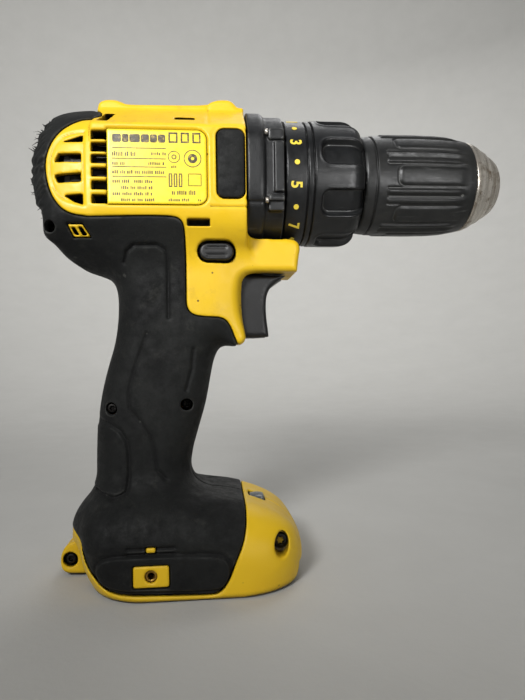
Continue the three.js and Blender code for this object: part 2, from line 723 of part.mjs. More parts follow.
add('pinion', gear(SUN_TEETH, [-26, -17.6]).subtract(rodX(2.8, [-30, -10], 0, 0, 12)), STEEL);

// Gearbox: two planetary stages, ring gears fixed in the case.
const STAGES = [
  { ringX: [-26.4, -17], planetX: [-25.4, -18.4] },
  { ringX: [-13, -3.4], planetX: [-11.6, -4.4] },
];
STAGES.forEach(({ ringX, planetX }, stage) => {
  add(`ring_gear_${stage + 1}`, ringGear(ringX), DARK_STEEL);
  for (let i = 0; i < PLANETS; i += 1) {
    add(`planet_gear_${stage + 1}_${'abc'[i]}`, planet(planetX, i), STEEL);
  }
});
add('carrier_1', join(
  ring([-16.6, -14.2], 3, 17.4, 24),
  ...carrierPins([-25, -15]),
  gear(SUN_TEETH, [-14.6, -4.2]).subtract(rodX(1.2, [-20, 0], 0, 0, 8)),
).subtract(rodX(2.9, [-20, -14.7], 0, 0, 12)), DARK_STEEL);
add('gear_case', gearCase(), BLACK_PLASTIC);
add('spindle', join(
  rodX(17.4, [-3.2, 0.8], 0, 0, 24),
  ...carrierPins([-11.2, -3]),
  rodX(7.9, [0.5, 22.8], 0, 0, 24),
  rodX(6.3, [22.5, 48.2], 0, 0, 24),
).subtract(rodX(2.5, [38, 50], 0, 0, 12)), STEEL);
add('front_bearing', ring([24, 30.4], 6.7, 12, 24), STEEL);

// Torque clutch.
add('torque_collar', torqueCollar(), BLACK_PLASTIC);
add('clutch_spring', coil([6.4, 20.4], 17.4, 0.9, 3.5, 12), STEEL);
add('clutch_nut', ring([20.8, 26.4], 15.1, 20.4, 24), GREY_PLASTIC);

// Keyless chuck.
add('chuck_body', chuckBody(), STEEL);
add('chuck_sleeve', chuckSleeve(), BLACK_PLASTIC);
add('jaw_nut', ring([57.6, 64.4], 14.5, CHUCK_BODY_R, 24), DARK_STEEL);
[0, 1, 2].forEach((i) => add(`chuck_jaw_${'abc'[i]}`, jaw(i), DARK_STEEL));
add('chuck_screw', join(
  rodX(4.4, [48.5, 51.2], 0, 0, 12),
  rodX(2.2, [39, 49], 0, 0, 10),
), DARK_STEEL);

// Controls and electrics.
add('trigger', trigger(), BLACK_PLASTIC);
add('trigger_spring', coil([-28.4, -9.6], 3, 0.5, 4.5, 7).translate([0, 0, -45.5]), STEEL);
add('switch_body', box([-52, -29], [-11.5, 11.5], [-62, -42]), GREY_PLASTIC);
add('direction_button', directionButton(), BLACK_PLASTIC);
add('speed_slider', speedSlider(), BLACK_PLASTIC);
add('terminal_block', join(
  box([-66, -44], [-8.6, 8.6], [BAY_ROOF + 0.5, BAY_ROOF + 8]),
  ...[-6, -2, 2, 6].map((y) => (
    box([-62, -46], [y - 0.5, y + 0.5], [BAY_ROOF - 9, BAY_ROOF + 1])
  )),
), BLACK_PLASTIC);
add('led_lens', box([-12, -6], [-4, 4], [-127.4, -124.6]), CLEAR);
add('led_board', box([-12.6, -5.4], [-4, 4], [-129.4, -128.2]), GREEN_BOARD);

export default drill;
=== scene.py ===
"""Looks of a cordless drill driver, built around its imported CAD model.

Lengths are millimetres from the chuck axis: x towards the nose, y to the user's left, z up.
w is the distance from the middle plane. The housing and the overmould are distance fields,
meshed where they cross zero.
"""

import json
import math

import bmesh
import bpy
import numpy as np
from mathutils import Matrix, Vector

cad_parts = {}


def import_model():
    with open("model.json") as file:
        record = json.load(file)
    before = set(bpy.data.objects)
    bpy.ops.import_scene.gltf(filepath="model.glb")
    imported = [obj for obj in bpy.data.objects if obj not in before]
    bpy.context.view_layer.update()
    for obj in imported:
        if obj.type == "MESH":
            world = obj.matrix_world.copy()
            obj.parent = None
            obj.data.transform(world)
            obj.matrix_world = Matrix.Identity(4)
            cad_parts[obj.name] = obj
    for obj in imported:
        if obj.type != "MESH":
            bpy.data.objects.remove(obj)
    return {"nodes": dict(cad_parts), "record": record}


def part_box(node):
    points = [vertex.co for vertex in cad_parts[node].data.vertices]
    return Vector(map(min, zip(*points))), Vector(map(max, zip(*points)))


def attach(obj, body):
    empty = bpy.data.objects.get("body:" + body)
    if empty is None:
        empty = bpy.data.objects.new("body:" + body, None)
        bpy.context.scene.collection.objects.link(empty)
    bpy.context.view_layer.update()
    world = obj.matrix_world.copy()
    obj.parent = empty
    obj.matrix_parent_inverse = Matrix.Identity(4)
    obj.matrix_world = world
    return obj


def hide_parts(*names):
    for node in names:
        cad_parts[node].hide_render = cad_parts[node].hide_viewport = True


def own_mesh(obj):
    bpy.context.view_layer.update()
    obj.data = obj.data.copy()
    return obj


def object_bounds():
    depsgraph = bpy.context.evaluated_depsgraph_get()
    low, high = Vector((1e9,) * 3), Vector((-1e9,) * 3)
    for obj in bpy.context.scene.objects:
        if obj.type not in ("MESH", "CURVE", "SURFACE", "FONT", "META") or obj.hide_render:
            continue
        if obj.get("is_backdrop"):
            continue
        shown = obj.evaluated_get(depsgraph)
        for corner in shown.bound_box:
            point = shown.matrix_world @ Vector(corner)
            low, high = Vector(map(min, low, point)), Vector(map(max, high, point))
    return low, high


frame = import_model()
cad_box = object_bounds()

MM = 0.001

chuck_low, chuck_high = (Vector(corner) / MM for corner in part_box("chuck_body"))
AXIS_HEIGHT = (chuck_low.z + chuck_high.z) / 2


def node_box(name):
    """Lowest and highest corner of a CAD node, in millimetres from the chuck axis."""
    low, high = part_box(name)
    drop = Vector((0, 0, AXIS_HEIGHT))
    return Vector(low) / MM - drop, Vector(high) / MM - drop


housing_low, _ = node_box("housing_right")
case_low, case_high = node_box("gear_case")
collar_low, collar_high = node_box("torque_collar")
_, sleeve_high = node_box("chuck_sleeve")
button_low, button_high = node_box("direction_button")
trigger_low, trigger_high = node_box("trigger")
slider_low, slider_high = node_box("speed_slider")
label_low, label_high = node_box("rating_plate_right")
pad_low, pad_high = node_box("side_pad_right")
lens_low, lens_high = node_box("led_lens")
nut_low, nut_high = node_box("belt_hook_nut_right")

FLOOR_Z = housing_low.z
BARREL_HALF_WIDTH = 27.0
RAIL_HALF_WIDTH = 10.8     # the two top rails with what joins them
WELL_HALF_WIDTH = 8.2      # the hollow between the top rails
HANDLE_HALF_WIDTH = 17.0
GUARD_HALF_WIDTH = 14.6
FOOT_HALF_WIDTH = 33.0
MOTOR_ROOM_RADIUS = 23.4
CASE_BACK_X = -12.5
CASE_ROOM_RADIUS = 26.1
WALL = 3.5
SEAM = 0.15                # half the gap between two shells
RUBBER = 2.3               # the overmould's thickness
NOSE_X = chuck_high.x
SIDES = ((-1, "right"), (1, "left"))


# ------------------------------------------------------------------ outlines


def smooth(points, rounds=3):
    """A closed outline with its corners cut to curves. A point given twice stays a corner."""
    for _ in range(rounds):
        cut = []
        for (ax, ay), (bx, by) in zip(points, points[1:] + points[:1]):
            cut.append((0.75 * ax + 0.25 * bx, 0.75 * ay + 0.25 * by))
            cut.append((0.25 * ax + 0.75 * bx, 0.25 * ay + 0.75 * by))
        points = cut
    kept = []
    for point in points:
        if not kept or math.dist(point, kept[-1]) > 1e-3:
            kept.append(point)
    return kept


def sharp(*points):
    """Points that stay corners when their outline is smoothed."""
    return [p for p in points for _ in range(2)]


BARREL_SIDE = smooth([
    *sharp((6, 60), (-66, 60)), (-66, 25.6), (-74.8, 26), (-81, 24.8), (-86, 22.9), (-88.8, 19.4),
    (-91.4, 15.4), (-93.7, 10.8), (-94.8, 5.5), (-94.8, -1), (-93.8, -7), (-91.2, -12), (-88.2, -16),
    (-87.2, -19.4), (-87.2, -23.6), (-85.6, -27), (-81.5, -29.8), (-76, -33.5), (-68.5, -37.5),
    (-64.5, -41), (-62.5, -47),
    *sharp((-62, -60), (6, -60)),
])
BARREL_SECTION = smooth([
    (0, 28), *sharp((9.4, 28)), (10.7, 27.6), (10.8, 25.4), *sharp((24.6, 15.6)), (27, 13.9),
    (27, 12), (27, -14), (26.8, -17.5), (24.8, -22.5), (20.5, -27.5), (15, -31), (8, -33), (0, -34),
    (-12, -30), (-12, 24),
], 2)
REAR_DOME = smooth([
    *sharp((-67, 80), (20, 80), (20, -60), (-95, -60)), (-95, 0), (-94.8, 6), (-93.8, 12), (-91, 17.6),
    (-88.2, 21.4), (-85, 24.6), (-80, 26.2), (-74, 27), *sharp((-69.4, 27.2)),
], 2)
FOOT_PLAN = smooth([
    (10.2, 0), (9.6, 8), (7.8, 16), (4, 24), (-1.4, 30), (-8, 34), *sharp((-30, 44)),
    *sharp((-64, 44)), (-70.5, 34), (-73.2, 29), (-74.8, 24), (-76.8, 18), (-79.4, 12), (-81.2, 7),
    (-81.5, 0), *sharp((-81.5, -60), (10.2, -60)),
], 2)
HANDLE_SIDE = smooth([
    (-80, -18), (-82, -28.5), (-78, -32), (-72, -35.6), (-66.2, -39.2), (-63.2, -44), (-63, -54),
    (-64.4, -65), (-67.2, -74), (-69.6, -83), (-71.3, -93), (-72, -107), (-72.1, -119), (-73.2, -125),
    (-76.5, -129.5), (-80, -135), *sharp((-80, -140), (-34, -140)), (-35, -128), (-36.6, -119),
    (-35.6, -110), (-32.4, -99), (-29.6, -90), (-27.6, -79), (-26, -71.5), (-23.5, -67), (-19, -64),
    (-13.5, -63), (-13.5, -18),
])
TRIGGER_GUARD_SIDE = smooth([
    *sharp((-40, -10), (-40, -60)), (-24, -62), (-19.6, -66.2), (-15, -67), (-13, -64.6), (-13.4, -62),
    (-15.4, -57), (-16.8, -52), (-17.2, -47), (-16.6, -42.2), (-14.4, -38.8), (-10.5, -37.8),
    *sharp((7.7, -38)), (8.4, -32), (9.2, -28.4), (7.6, -25.3), (2, -24.6), *sharp((-2, -24.6), (-2, -10)),
])
FOOT_SIDE = smooth([
    (-46, -122), (-36, -123.6), (-28, -125), (-20, -126), (-13, -127.8), (-6, -130.4), (0, -133.6),
    (4.8, -138), (8.8, -143.4), (10.4, -148.4), (9.6, -152.6), (6.4, -157), (1, -163),
    *sharp((-8, -175), (-62, -175)),
    (-69, -161), (-73.6, -153.4), (-78.6, -147), (-81.2, -143), (-80.9, -138), (-78.8, -132.6),
    (-74.4, -127), (-66, -122.4),
])
GRIP_AREA = smooth([
    *sharp((-77, 60)), (-74, 28), (-70.4, 25.2), (-67.2, 22.8), (-66.4, 19.2), (-68.2, 17.6),
    (-72.6, 17.3), (-76.6, 15), (-80.4, 11.8), (-83.6, 6.8), (-85.9, -0.2), (-84.7, -8.4),
    (-82, -14.4), (-77.6, -18.8), *sharp((-70.3, -19.8)),
    (-42, -19.2), (-36.4, -20.4), (-35.9, -26), *sharp((-36, -46)), (-36, -52.6), (-33.2, -55.4),
    (-27, -55.9), (-22, -56.2), (-19.4, -58.8), (-17, -65.5), *sharp((-10, -80)), *sharp((-12, -117)),
    (-15.3, -121.5), (-14.4, -130), (-15.9, -138), (-18.8, -144.4), (-21.2, -150.6), (-24.6, -155.3),
    *sharp((-30, -155.4), (-60, -154.4)), (-65.4, -153.6), (-69, -149.8), (-71.8, -146), (-73.6, -141.6),
    (-75.6, -137), *sharp((-86, -136)), *sharp((-120, -136), (-120, 60)),
], 3)
TOP_RAIL_SIDE = smooth([
    *sharp((-69.6, 18)), (-69.8, 27.6), (-67.8, 29.6), (-63.5, 30), (-60.4, 29.2), (-58, 27.9),
    *sharp((-50, 28.1), (-34, 28.5)), (-27.6, 28.7), (-24.6, 30.4), (-21, 31), (-17.6, 30.8),
    (-14.9, 28), *sharp((-13, 24), (-13, 18)),
], 2)
CASE_CRADLE = smooth([
    *sharp((CASE_BACK_X, 60)), (CASE_BACK_X, -16), (CASE_BACK_X, -23), (-10.4, -25.2), (-4, -25.2),
    *sharp((2.2, -25.2), (2.2, -24.8), (60, -24.8), (60, 60)),
])
LOUVRE_AREA = smooth([
    *sharp((-71.2, 11.4)), (-76.6, 10.8), (-80.6, 8.4), (-83.4, 3.4), (-84, -3), (-82.8, -9.6),
    (-79.2, -14), *sharp((-71.2, -16)),
])
LOUVRES = [
    [(-79.7, 7.1), (-71.9, 9.9), (-71.9, 7.2)],
    [(-82, -0.1), (-80.6, 3), (-72.4, 3), (-72.4, -0.1)],
    [(-82.1, -4.6), (-72.5, -3.9), (-72.5, -7.4), (-80.9, -7.6)],
    [(-79, -12.1), (-71.9, -11.6), (-71.9, -15.6), (-75, -14.6)],
]
VENT_X = (-68.7, -63.3)
VENT_TOPS = (11.1, 6.7, 2.4, -2.3, -7.0, -12.0)
VENT_HEIGHT = 3.3
VENT_FLOOR = 15.0          # how near to the middle plane the vents, louvres and slots reach
LOUVRE_FLOOR = 12.0
SLOT_FLOOR = 8.0
FOOT_BAR = smooth([
    (-68.6, -147), (-67, -142.6), (-62, -141), (-45, -141.2), (-26, -141.6), (-21.6, -143.6),
    (-20.8, -148), (-22.8, -152.6), (-27, -153.8), (-45, -153.2), (-63, -152.6), (-67.4, -151),
])
LUG_SIDE = smooth([
    *sharp((-70, -142)), (-79, -142.6), (-82, -143.8), (-84.8, -144.8), (-87.2, -148.2), (-87.4, -153.6),
    (-85.4, -156.2), *sharp((-80.6, -156.6), (-70, -156.6)),
])
LUG_HALF_WIDTH = 6.0
SCREWS = {                 # head radius, how much deeper the head lies than in CAD, and its shift
    "rear_screw": {"r": 1.7, "sunk": -2.3, "shift": (0.6, 0, -1.6)},
    "grip_screw_rear": {"r": 2.0, "sunk": 0.2, "shift": (0, 0, 0)},
    "grip_screw_front": {"r": 2.0, "sunk": 3.0, "shift": (0, 0, 0)},
    "foot_lug_screw": {"r": 2.1, "sunk": 0.0, "shift": (-2.3, 0, -2.6)},
    "foot_nose_screw": {"r": 3.0, "sunk": 8.4, "shift": (0, 0, 0)},
}
SCREW_POINTS = {
    name: sum(node_box(name), Vector()) / 2 + Vector(screw["shift"]) for name, screw in SCREWS.items()
}
PALM_LINE = [              # edge of the raised patch behind the handle
    (-71.5, -94.6), (-66, -96), (-61.3, -98.8), (-58.7, -103.4), (-58.1, -109), (-58.2, -116),
    (-58.8, -121.4), (-63.2, -123.3), (-71, -121.5),
]
PALM_PATCH = smooth([*PALM_LINE[1:-1], (-90, -118), (-90, -97)])
GRIP_LINES = [             # lines pressed into the rubber, and their depths
    ([(-59, -35), (-57.6, -31), (-55, -29), (-46.4, -28.9), (-43.4, -30.6), (-42.6, -34),
      (-42.8, -56)], 1.0),
    ([(-51, -62), (-52.5, -66.3), (-56, -75.8), (-58.2, -84.4), (-57.8, -90.4), (-54, -95.5),
      (-50.4, -100.6), (-48.6, -106.3), (-47.9, -114), (-44.6, -117.6)], 0.8),
    (PALM_LINE, 0.8),
    ([(-33.5, -68), (-34.2, -76), (-36.5, -84)], 0.8),
]
WINDOW_FRAME = [(-77.6, -22.4), (-72.6, -22.4), (-70.4, -26.3), (-76.2, -26.2)]
WINDOW_CELLS = [[(-76.9, -23.1), (-75.5, -23.1), (-74.2, -25.6), (-75.8, -25.5)],
                [(-74.4, -23), (-72.9, -23), (-71.3, -25.8), (-73.1, -25.7)]]
FOOT_WINDOW = {"x": (-55.2, -42.2), "z": (-152.1, -144.0)}
FOOT_TAB = {"x": (-50.6, -46.9), "z": (-139.8, -137.7)}
FOOT_SLITS = {"x": (-57, -40.4), "z": (-138.2, -140.2)}
SIDE_SLOT = [(-34.9, -22.6), (-26.4, -22.6), (-26.4, -20.1), (-34.9, -20.1)]
TOP_SLOT = [(-39.2, 17.6), (-31.7, 17.6), (-31.7, 19.8), (-39.2, 19.8)]
TOP_NOTCH = [(-67.0, 15.2), (-63.2, 15.2), (-61.8, 21.8), (-65.6, 21.8)]
NOSE_HOLE = {"x": -1.7, "z": -141, "half_x": 2.9, "half_z": 4.3, "floor": 21.6}
NOSE_BOSS = {"r": 7, "inner_face": 19.0}
LENS_DROP = 4.7            # the work light sits lower than in CAD
BAY_ROOF = FLOOR_Z + 21
BAY = {"back": -73, "half_width": 25.0, "rail_half_gap": 21.8, "rail_z": (2.2, 6.0)}
BAY_FRONT_GAP = {"top": -150.5, "half_width": 19}
HANDLE_ROOM = {"wall": 4.6, "half_width": 12.5}
REAR_BOSS = {"r": 3.7, "half_width": 18.2}


# ------------------------------------------------------------------ distance fields


def polygon_distance(points, u, v):
    """Signed distance from (u, v) to a closed outline, negative inside."""
    shape = np.broadcast(u, v).shape
    best = np.full(shape, 1e9, np.float32)
    inside = np.zeros(shape, bool)
    for (ax, ay), (bx, by) in zip(points, points[1:] + points[:1]):
        ex, ey = bx - ax, by - ay
        pu, pv = u - ax, v - ay
        t = np.clip((pu * ex + pv * ey) / (ex * ex + ey * ey), 0, 1)
        np.minimum(best, (pu - t * ex) ** 2 + (pv - t * ey) ** 2, out=best)
        if ay != by:
            crossed = ((ay > v) != (by > v)) & (u < ax + (v - ay) * ex / ey)
            inside ^= crossed
    return np.where(inside, -1, 1).astype(np.float32) * np.sqrt(best)


def line_distance(points, u, v):
    """Distance from (u, v) to an open line."""
    best = np.full(np.broadcast(u, v).shape, 1e9, np.float32)
    for (ax, ay), (bx, by) in zip(points, points[1:]):
        ex, ey = bx - ax, by - ay
        t = np.clip(((u - ax) * ex + (v - ay) * ey) / (ex * ex + ey * ey), 0, 1)
        np.minimum(best, (u - ax - t * ex) ** 2 + (v - ay - t * ey) ** 2, out=best)
    return np.sqrt(best)


def rectangle(u, v, u_range, v_range, corner=0.0):
    """Signed distance to a rectangle with round corners."""
    du = np.abs(u - sum(u_range) / 2) - (u_range[1] - u_range[0]) / 2 + corner
    dv = np.abs(v - sum(v_range) / 2) - (v_range[1] - v_range[0]) / 2 + corner
    return np.minimum(np.maximum(du, dv), 0) + np.hypot(np.maximum(du, 0), np.maximum(dv, 0)) - corner


def from_side(points, g):
    """Distance to an outline that is drawn as seen from the side."""
    return polygon_distance(points, g.x, g.z)


def prism(outline, across, half_width, rounding):
    """An outline's field, extruded to a half width with rounded edges."""
    a = outline + rounding
    b = np.abs(across) - (half_width - rounding)
    return np.minimum(np.maximum(a, b), 0) + np.hypot(np.maximum(a, 0), np.maximum(b, 0)) - rounding


def union(a, b, soft=0.0):
    """The two shapes joined, blended over a soft distance."""
    if not soft:
        return np.minimum(a, b)
    overlap = np.maximum(soft - np.abs(a - b), 0) / soft
    return np.minimum(a, b) - overlap * overlap * soft / 4


def both(a, b, soft=0.0):
    """What lies in both shapes."""
    return -union(-a, -b, soft)


def without(a, b, soft=0.0):
    """The first shape, cut by the second."""
    return both(a, -b, soft)


def step_between(value, low, high):
    """0 below low and 1 above high, smooth between them."""
    t = np.clip((value - low) / (high - low), 0, 1)
    return t * t * (3 - 2 * t)


def groove(distance, width, depth):
    """How much a round-bottomed groove takes off, by the distance from its line."""
    return depth * np.exp(-((distance / (width / 2)) ** 2))


class Grid:
    """Sample points of a field: x, w and z lines that broadcast to a block."""

    def __init__(self, low, high, step):
        self.low = np.array(low, np.float32)
        self.step = step
        lines = [np.arange(a, b + step, step, dtype=np.float32) for a, b in zip(low, high)]
        self.x = lines[0][:, None, None]
        self.w = lines[1][None, :, None]
        self.z = lines[2][None, None, :]

    @classmethod
    def around(cls, low, high, step):
        """Samples a box and 1 mm on each side of it."""
        return cls([a - 1 for a in low], [b + 1 for b in high], step)


CORNERS = [(i, j, k) for i in (0, 1) for j in (0, 1) for k in (0, 1)]


def surface_net(field, grid):
    """Vertices and quads of the surface where a sampled field crosses zero."""
    inside = field < 0
    nx, ny, nz = field.shape
    count = np.zeros((nx - 1, ny - 1, nz - 1), np.uint8)
    for i, j, k in CORNERS:
        count += inside[i:nx - 1 + i, j:ny - 1 + j, k:nz - 1 + k]
    cells = np.argwhere((count > 0) & (count < 8))
    number = np.full(count.shape, -1, np.int32)
    number[tuple(cells.T)] = np.arange(len(cells))
    values = {c: field[tuple((cells + c).T)] for c in CORNERS}
    total = np.zeros((len(cells), 3))
    crossings = np.zeros(len(cells))
    for a in CORNERS:
        for axis in range(3):
            if a[axis]:
                continue
            b = tuple(1 if n == axis else a[n] for n in range(3))
            crosses = (values[a] < 0) != (values[b] < 0)
            gap = np.where(crosses, values[a] - values[b], 1)
            place = np.tile(np.array(a, float), (len(cells), 1))
            place[:, axis] += np.where(crosses, values[a] / gap, 0)
            total += place * crosses[:, None]
            crossings += crosses
    vertices = grid.low + grid.step * (cells + total / crossings[:, None])
    quads = []
    for axis in range(3):
        u, v = (axis + 1) % 3, (axis + 2) % 3
        here = [slice(None)] * 3
        here[u] = here[v] = slice(1, -1)
        there = list(here)
        here[axis] = slice(None, -1)
        there[axis] = slice(1, None)
        first, second = inside[tuple(here)], inside[tuple(there)]
        edge_u, edge_v = np.eye(3, dtype=int)[u], np.eye(3, dtype=int)[v]
        for flips, flagged in ((False, first & ~second), (True, second & ~first)):
            points = np.argwhere(flagged) + edge_u + edge_v
            around = [points - edge_u - edge_v, points - edge_v, points, points - edge_u]
            ring = np.stack([number[tuple(p.T)] for p in around], axis=1)
            quads.append(ring[:, ::-1] if flips else ring)
    return vertices, np.concatenate(quads)


# ------------------------------------------------------------------ mesh objects


def to_frame(points):
    return (np.asarray(points, float) + (0, 0, AXIS_HEIGHT)) * MM


def new_mesh(name, points, faces, finish):
    """A smooth mesh object from points in millimetres and an array, or list, of faces."""
    mesh = bpy.data.meshes.new(name)
    if isinstance(faces, np.ndarray):
        mesh.vertices.add(len(points))
        mesh.vertices.foreach_set("co", to_frame(points).ravel())
        mesh.loops.add(faces.size)
        mesh.loops.foreach_set("vertex_index", faces.ravel().astype(np.int32))
        mesh.polygons.add(len(faces))
        mesh.polygons.foreach_set("loop_start", np.arange(0, faces.size, faces.shape[1], dtype=np.int32))
        mesh.update(calc_edges=True)
    else:
        mesh.from_pydata(to_frame(points).tolist(), [], faces)
    mesh.shade_smooth()
    mesh.materials.append(finish)
    piece = bpy.data.objects.new(name, mesh)
    bpy.context.scene.collection.objects.link(piece)
    return piece


def hand_in(piece, body, slot, *nodes):
    """Says what a piece rides on and which CAD nodes it stands for. The slot it is given is not used."""
    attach(piece, body)
    if nodes:
        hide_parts(*nodes)
    return piece


def field_piece(name, field, grid, side, finish):
    """Meshes a field on one side: -1 is the right side, 1 the left, and 0 is a grid across both."""
    vertices, quads = surface_net(field, grid)
    if side < 0:
        vertices = vertices * (1, -1, 1)
        quads = quads[:, ::-1]
    return new_mesh(name, vertices, np.ascontiguousarray(quads), finish)


def tidy_normals(piece):
    """Welds doubled points and turns every face outwards."""
    work = bmesh.new()
    work.from_mesh(piece.data)
    bmesh.ops.remove_doubles(work, verts=work.verts, dist=1e-7)
    bmesh.ops.recalc_face_normals(work, faces=work.faces)
    work.to_mesh(piece.data)
    work.free()


def ring_faces(rings, sides, start=0, first_cap=True):
    """Quads along rings of points that follow one another, and a cap on each end."""
    faces = []
    for i in range(rings - 1):
        a, b = start + i * sides, start + (i + 1) * sides
        faces += [(a + k, a + (k + 1) % sides, b + (k + 1) % sides, b + k) for k in range(sides)]
    if first_cap:
        faces.append([start + k for k in range(sides)][::-1])
    faces.append([start + (rings - 1) * sides + k for k in range(sides)])
    return faces


def rounded_line(points, radius, spacing):
    """A closed (x, r) line with rounded corners and points no further apart than spacing."""
    line = []
    count = len(points)
    for i, point in enumerate(points):
        before = np.array(points[i - 1], float)
        here = np.array(point[:2], float)
        after = np.array(points[(i + 1) % count], float)
        reach = min(radius, np.linalg.norm(before - here) / 2.2, np.linalg.norm(after - here) / 2.2)
        a = here + (before - here) / np.linalg.norm(before - here) * reach
        b = here + (after - here) / np.linalg.norm(after - here) * reach
        for t in np.linspace(0, 1, 5):
            line.append((1 - t) ** 2 * a + 2 * t * (1 - t) * here + t * t * b)
    fine = []
    for a, b in zip(line, line[1:] + line[:1]):
        parts = max(1, math.ceil(np.linalg.norm(b - a) / spacing))
        fine += [a + (b - a) * k / parts for k in range(parts)]
    return np.array(fine)


def turned(name, profile, finish, radius, spacing, sides, relief=None):
    """A ring of revolution about the chuck axis. relief(x, r, angle) gives the radius back with
    detail. The angle is 0 towards the right side, -Y, and grows towards +Z."""
    line = rounded_line(profile, radius, spacing)
    angle = np.linspace(0, 2 * np.pi, sides, endpoint=False)
    x = np.repeat(line[:, :1], sides, axis=1)
    r = np.repeat(line[:, 1:], sides, axis=1)
    angles = np.repeat(angle[None, :], len(line), axis=0)
    if relief:
        r = relief(x, r, angles)
    points = np.stack([x, -r * np.cos(angles), r * np.sin(angles)], axis=-1).reshape(-1, 3)
    i = np.arange(len(line))[:, None]
    j = np.arange(sides)[None, :]
    i2, j2 = (i + 1) % len(line), (j + 1) % sides
    quads = np.stack([i * sides + j, i2 * sides + j, i2 * sides + j2, i * sides + j2], axis=-1)
    faces = quads.reshape(-1, 4)
    closed = np.roll(line, -1, axis=0)
    area = np.sum(line[:, 0] * closed[:, 1] - closed[:, 0] * line[:, 1])
    if area < 0:
        faces = faces[:, ::-1]
    return new_mesh(name, points, np.ascontiguousarray(faces), finish)


# ------------------------------------------------------------------ materials


def colour(red, green, blue):
    """Linear colour from 8-bit display values."""
    values = [c / 255 for c in (red, green, blue)]
    linear = [c / 12.92 if c <= 0.04045 else ((c + 0.055) / 1.055) ** 2.4 for c in values]
    return (*linear, 1)


class Finish:
    """A procedural material on a Principled shader, in object coordinates."""

    def __init__(self, name, metallic=0.0, **sockets):
        self.material = bpy.data.materials.new(name)
        self.material.use_nodes = True
        self.nodes = self.material.node_tree.nodes
        self.links = self.material.node_tree.links
        self.shader = self.nodes["Principled BSDF"]
        self.shader.inputs["Metallic"].default_value = metallic
        for socket, value in sockets.items():
            self.shader.inputs[socket.replace("_", " ")].default_value = value
        self.place = self.nodes.new("ShaderNodeTexCoord").outputs["Object"]

    def stretched(self, x, y, z):
        mapping = self.nodes.new("ShaderNodeMapping")
        mapping.inputs["Scale"].default_value = (x, y, z)
        self.links.new(self.place, mapping.inputs["Vector"])
        return mapping.outputs["Vector"]

    def noise(self, size_mm, detail=3.0, rough=0.55, place=None):
        node = self.nodes.new("ShaderNodeTexNoise")
        node.inputs["Scale"].default_value = 1 / (size_mm * MM)
        node.inputs["Detail"].default_value = detail
        node.inputs["Roughness"].default_value = rough
        self.links.new(place or self.place, node.inputs["Vector"])
        return node.outputs["Fac"]

    def cells(self, size_mm):
        node = self.nodes.new("ShaderNodeTexVoronoi")
        node.inputs["Scale"].default_value = 1 / (size_mm * MM)
        self.links.new(self.place, node.inputs["Vector"])
        return node.outputs["Distance"]

    def edges(self, low, high):
        """0 on flats and hollows, 1 on worn convex edges. With low above high it is the other way round: 1
        in concave creases, where painted shade goes.
        """
        geometry = self.nodes.new("ShaderNodeNewGeometry")
        return self.fade(geometry.outputs["Pointiness"], low, high)

    def crevices(self, reach_mm, low, high):
        """1 deep in holes and gaps, 0 in the open, by ambient occlusion: the mask for painted shade."""
        node = self.nodes.new("ShaderNodeAmbientOcclusion")
        node.samples = 4
        node.inputs["Distance"].default_value = reach_mm * MM
        return self.fade(node.outputs["AO"], low, high, 1.0, 0.0)

    def fade(self, value, low, high, to_low=0.0, to_high=1.0):
        node = self.nodes.new("ShaderNodeMapRange")
        node.interpolation_type = "SMOOTHSTEP"
        limits = {"From Min": low, "From Max": high, "To Min": to_low, "To Max": to_high}
        for socket, number in limits.items():
            node.inputs[socket].default_value = number
        self.links.new(value, node.inputs["Value"])
        return node.outputs["Result"]

    def maths(self, operation, a, b):
        node = self.nodes.new("ShaderNodeMath")
        node.operation = operation
        for socket, value in zip(node.inputs, (a, b)):
            if isinstance(value, (int, float)):
                socket.default_value = value
            else:
                self.links.new(value, socket)
        return node.outputs["Value"]

    def mix(self, factor, a, b):
        node = self.nodes.new("ShaderNodeMix")
        node.data_type = "RGBA"
        sockets = [s for s in node.inputs if s.type == "RGBA"]
        for socket, value in zip(sockets, (a, b)):
            if isinstance(value, tuple):
                socket.default_value = value
            else:
                self.links.new(value, socket)
        self.links.new(factor, node.inputs["Factor"])
        return next(s for s in node.outputs if s.type == "RGBA")

    def tint(self, base, mask, amount, tint):
        """Lays a colour over a base where a mask is high."""
        return self.mix(self.maths("MULTIPLY", mask, amount), base, tint)

    def patches(self, size_mm, detail, rough, low, high):
        """A value that wanders between low and high."""
        return self.fade(self.noise(size_mm, detail, rough), 0.3, 0.7, low, high)

    def bump(self, height, depth_mm, after=None):
        node = self.nodes.new("ShaderNodeBump")
        node.inputs["Strength"].default_value = 1.0
        node.inputs["Distance"].default_value = depth_mm * MM
        self.links.new(height, node.inputs["Height"])
        if after:
            self.links.new(after, node.inputs["Normal"])
        return node.outputs["Normal"]

    def finish(self, base, roughness, normal):
        self.links.new(base, self.shader.inputs["Base Color"])
        self.links.new(roughness, self.shader.inputs["Roughness"])
        self.links.new(normal, self.shader.inputs["Normal"])
        return self.material


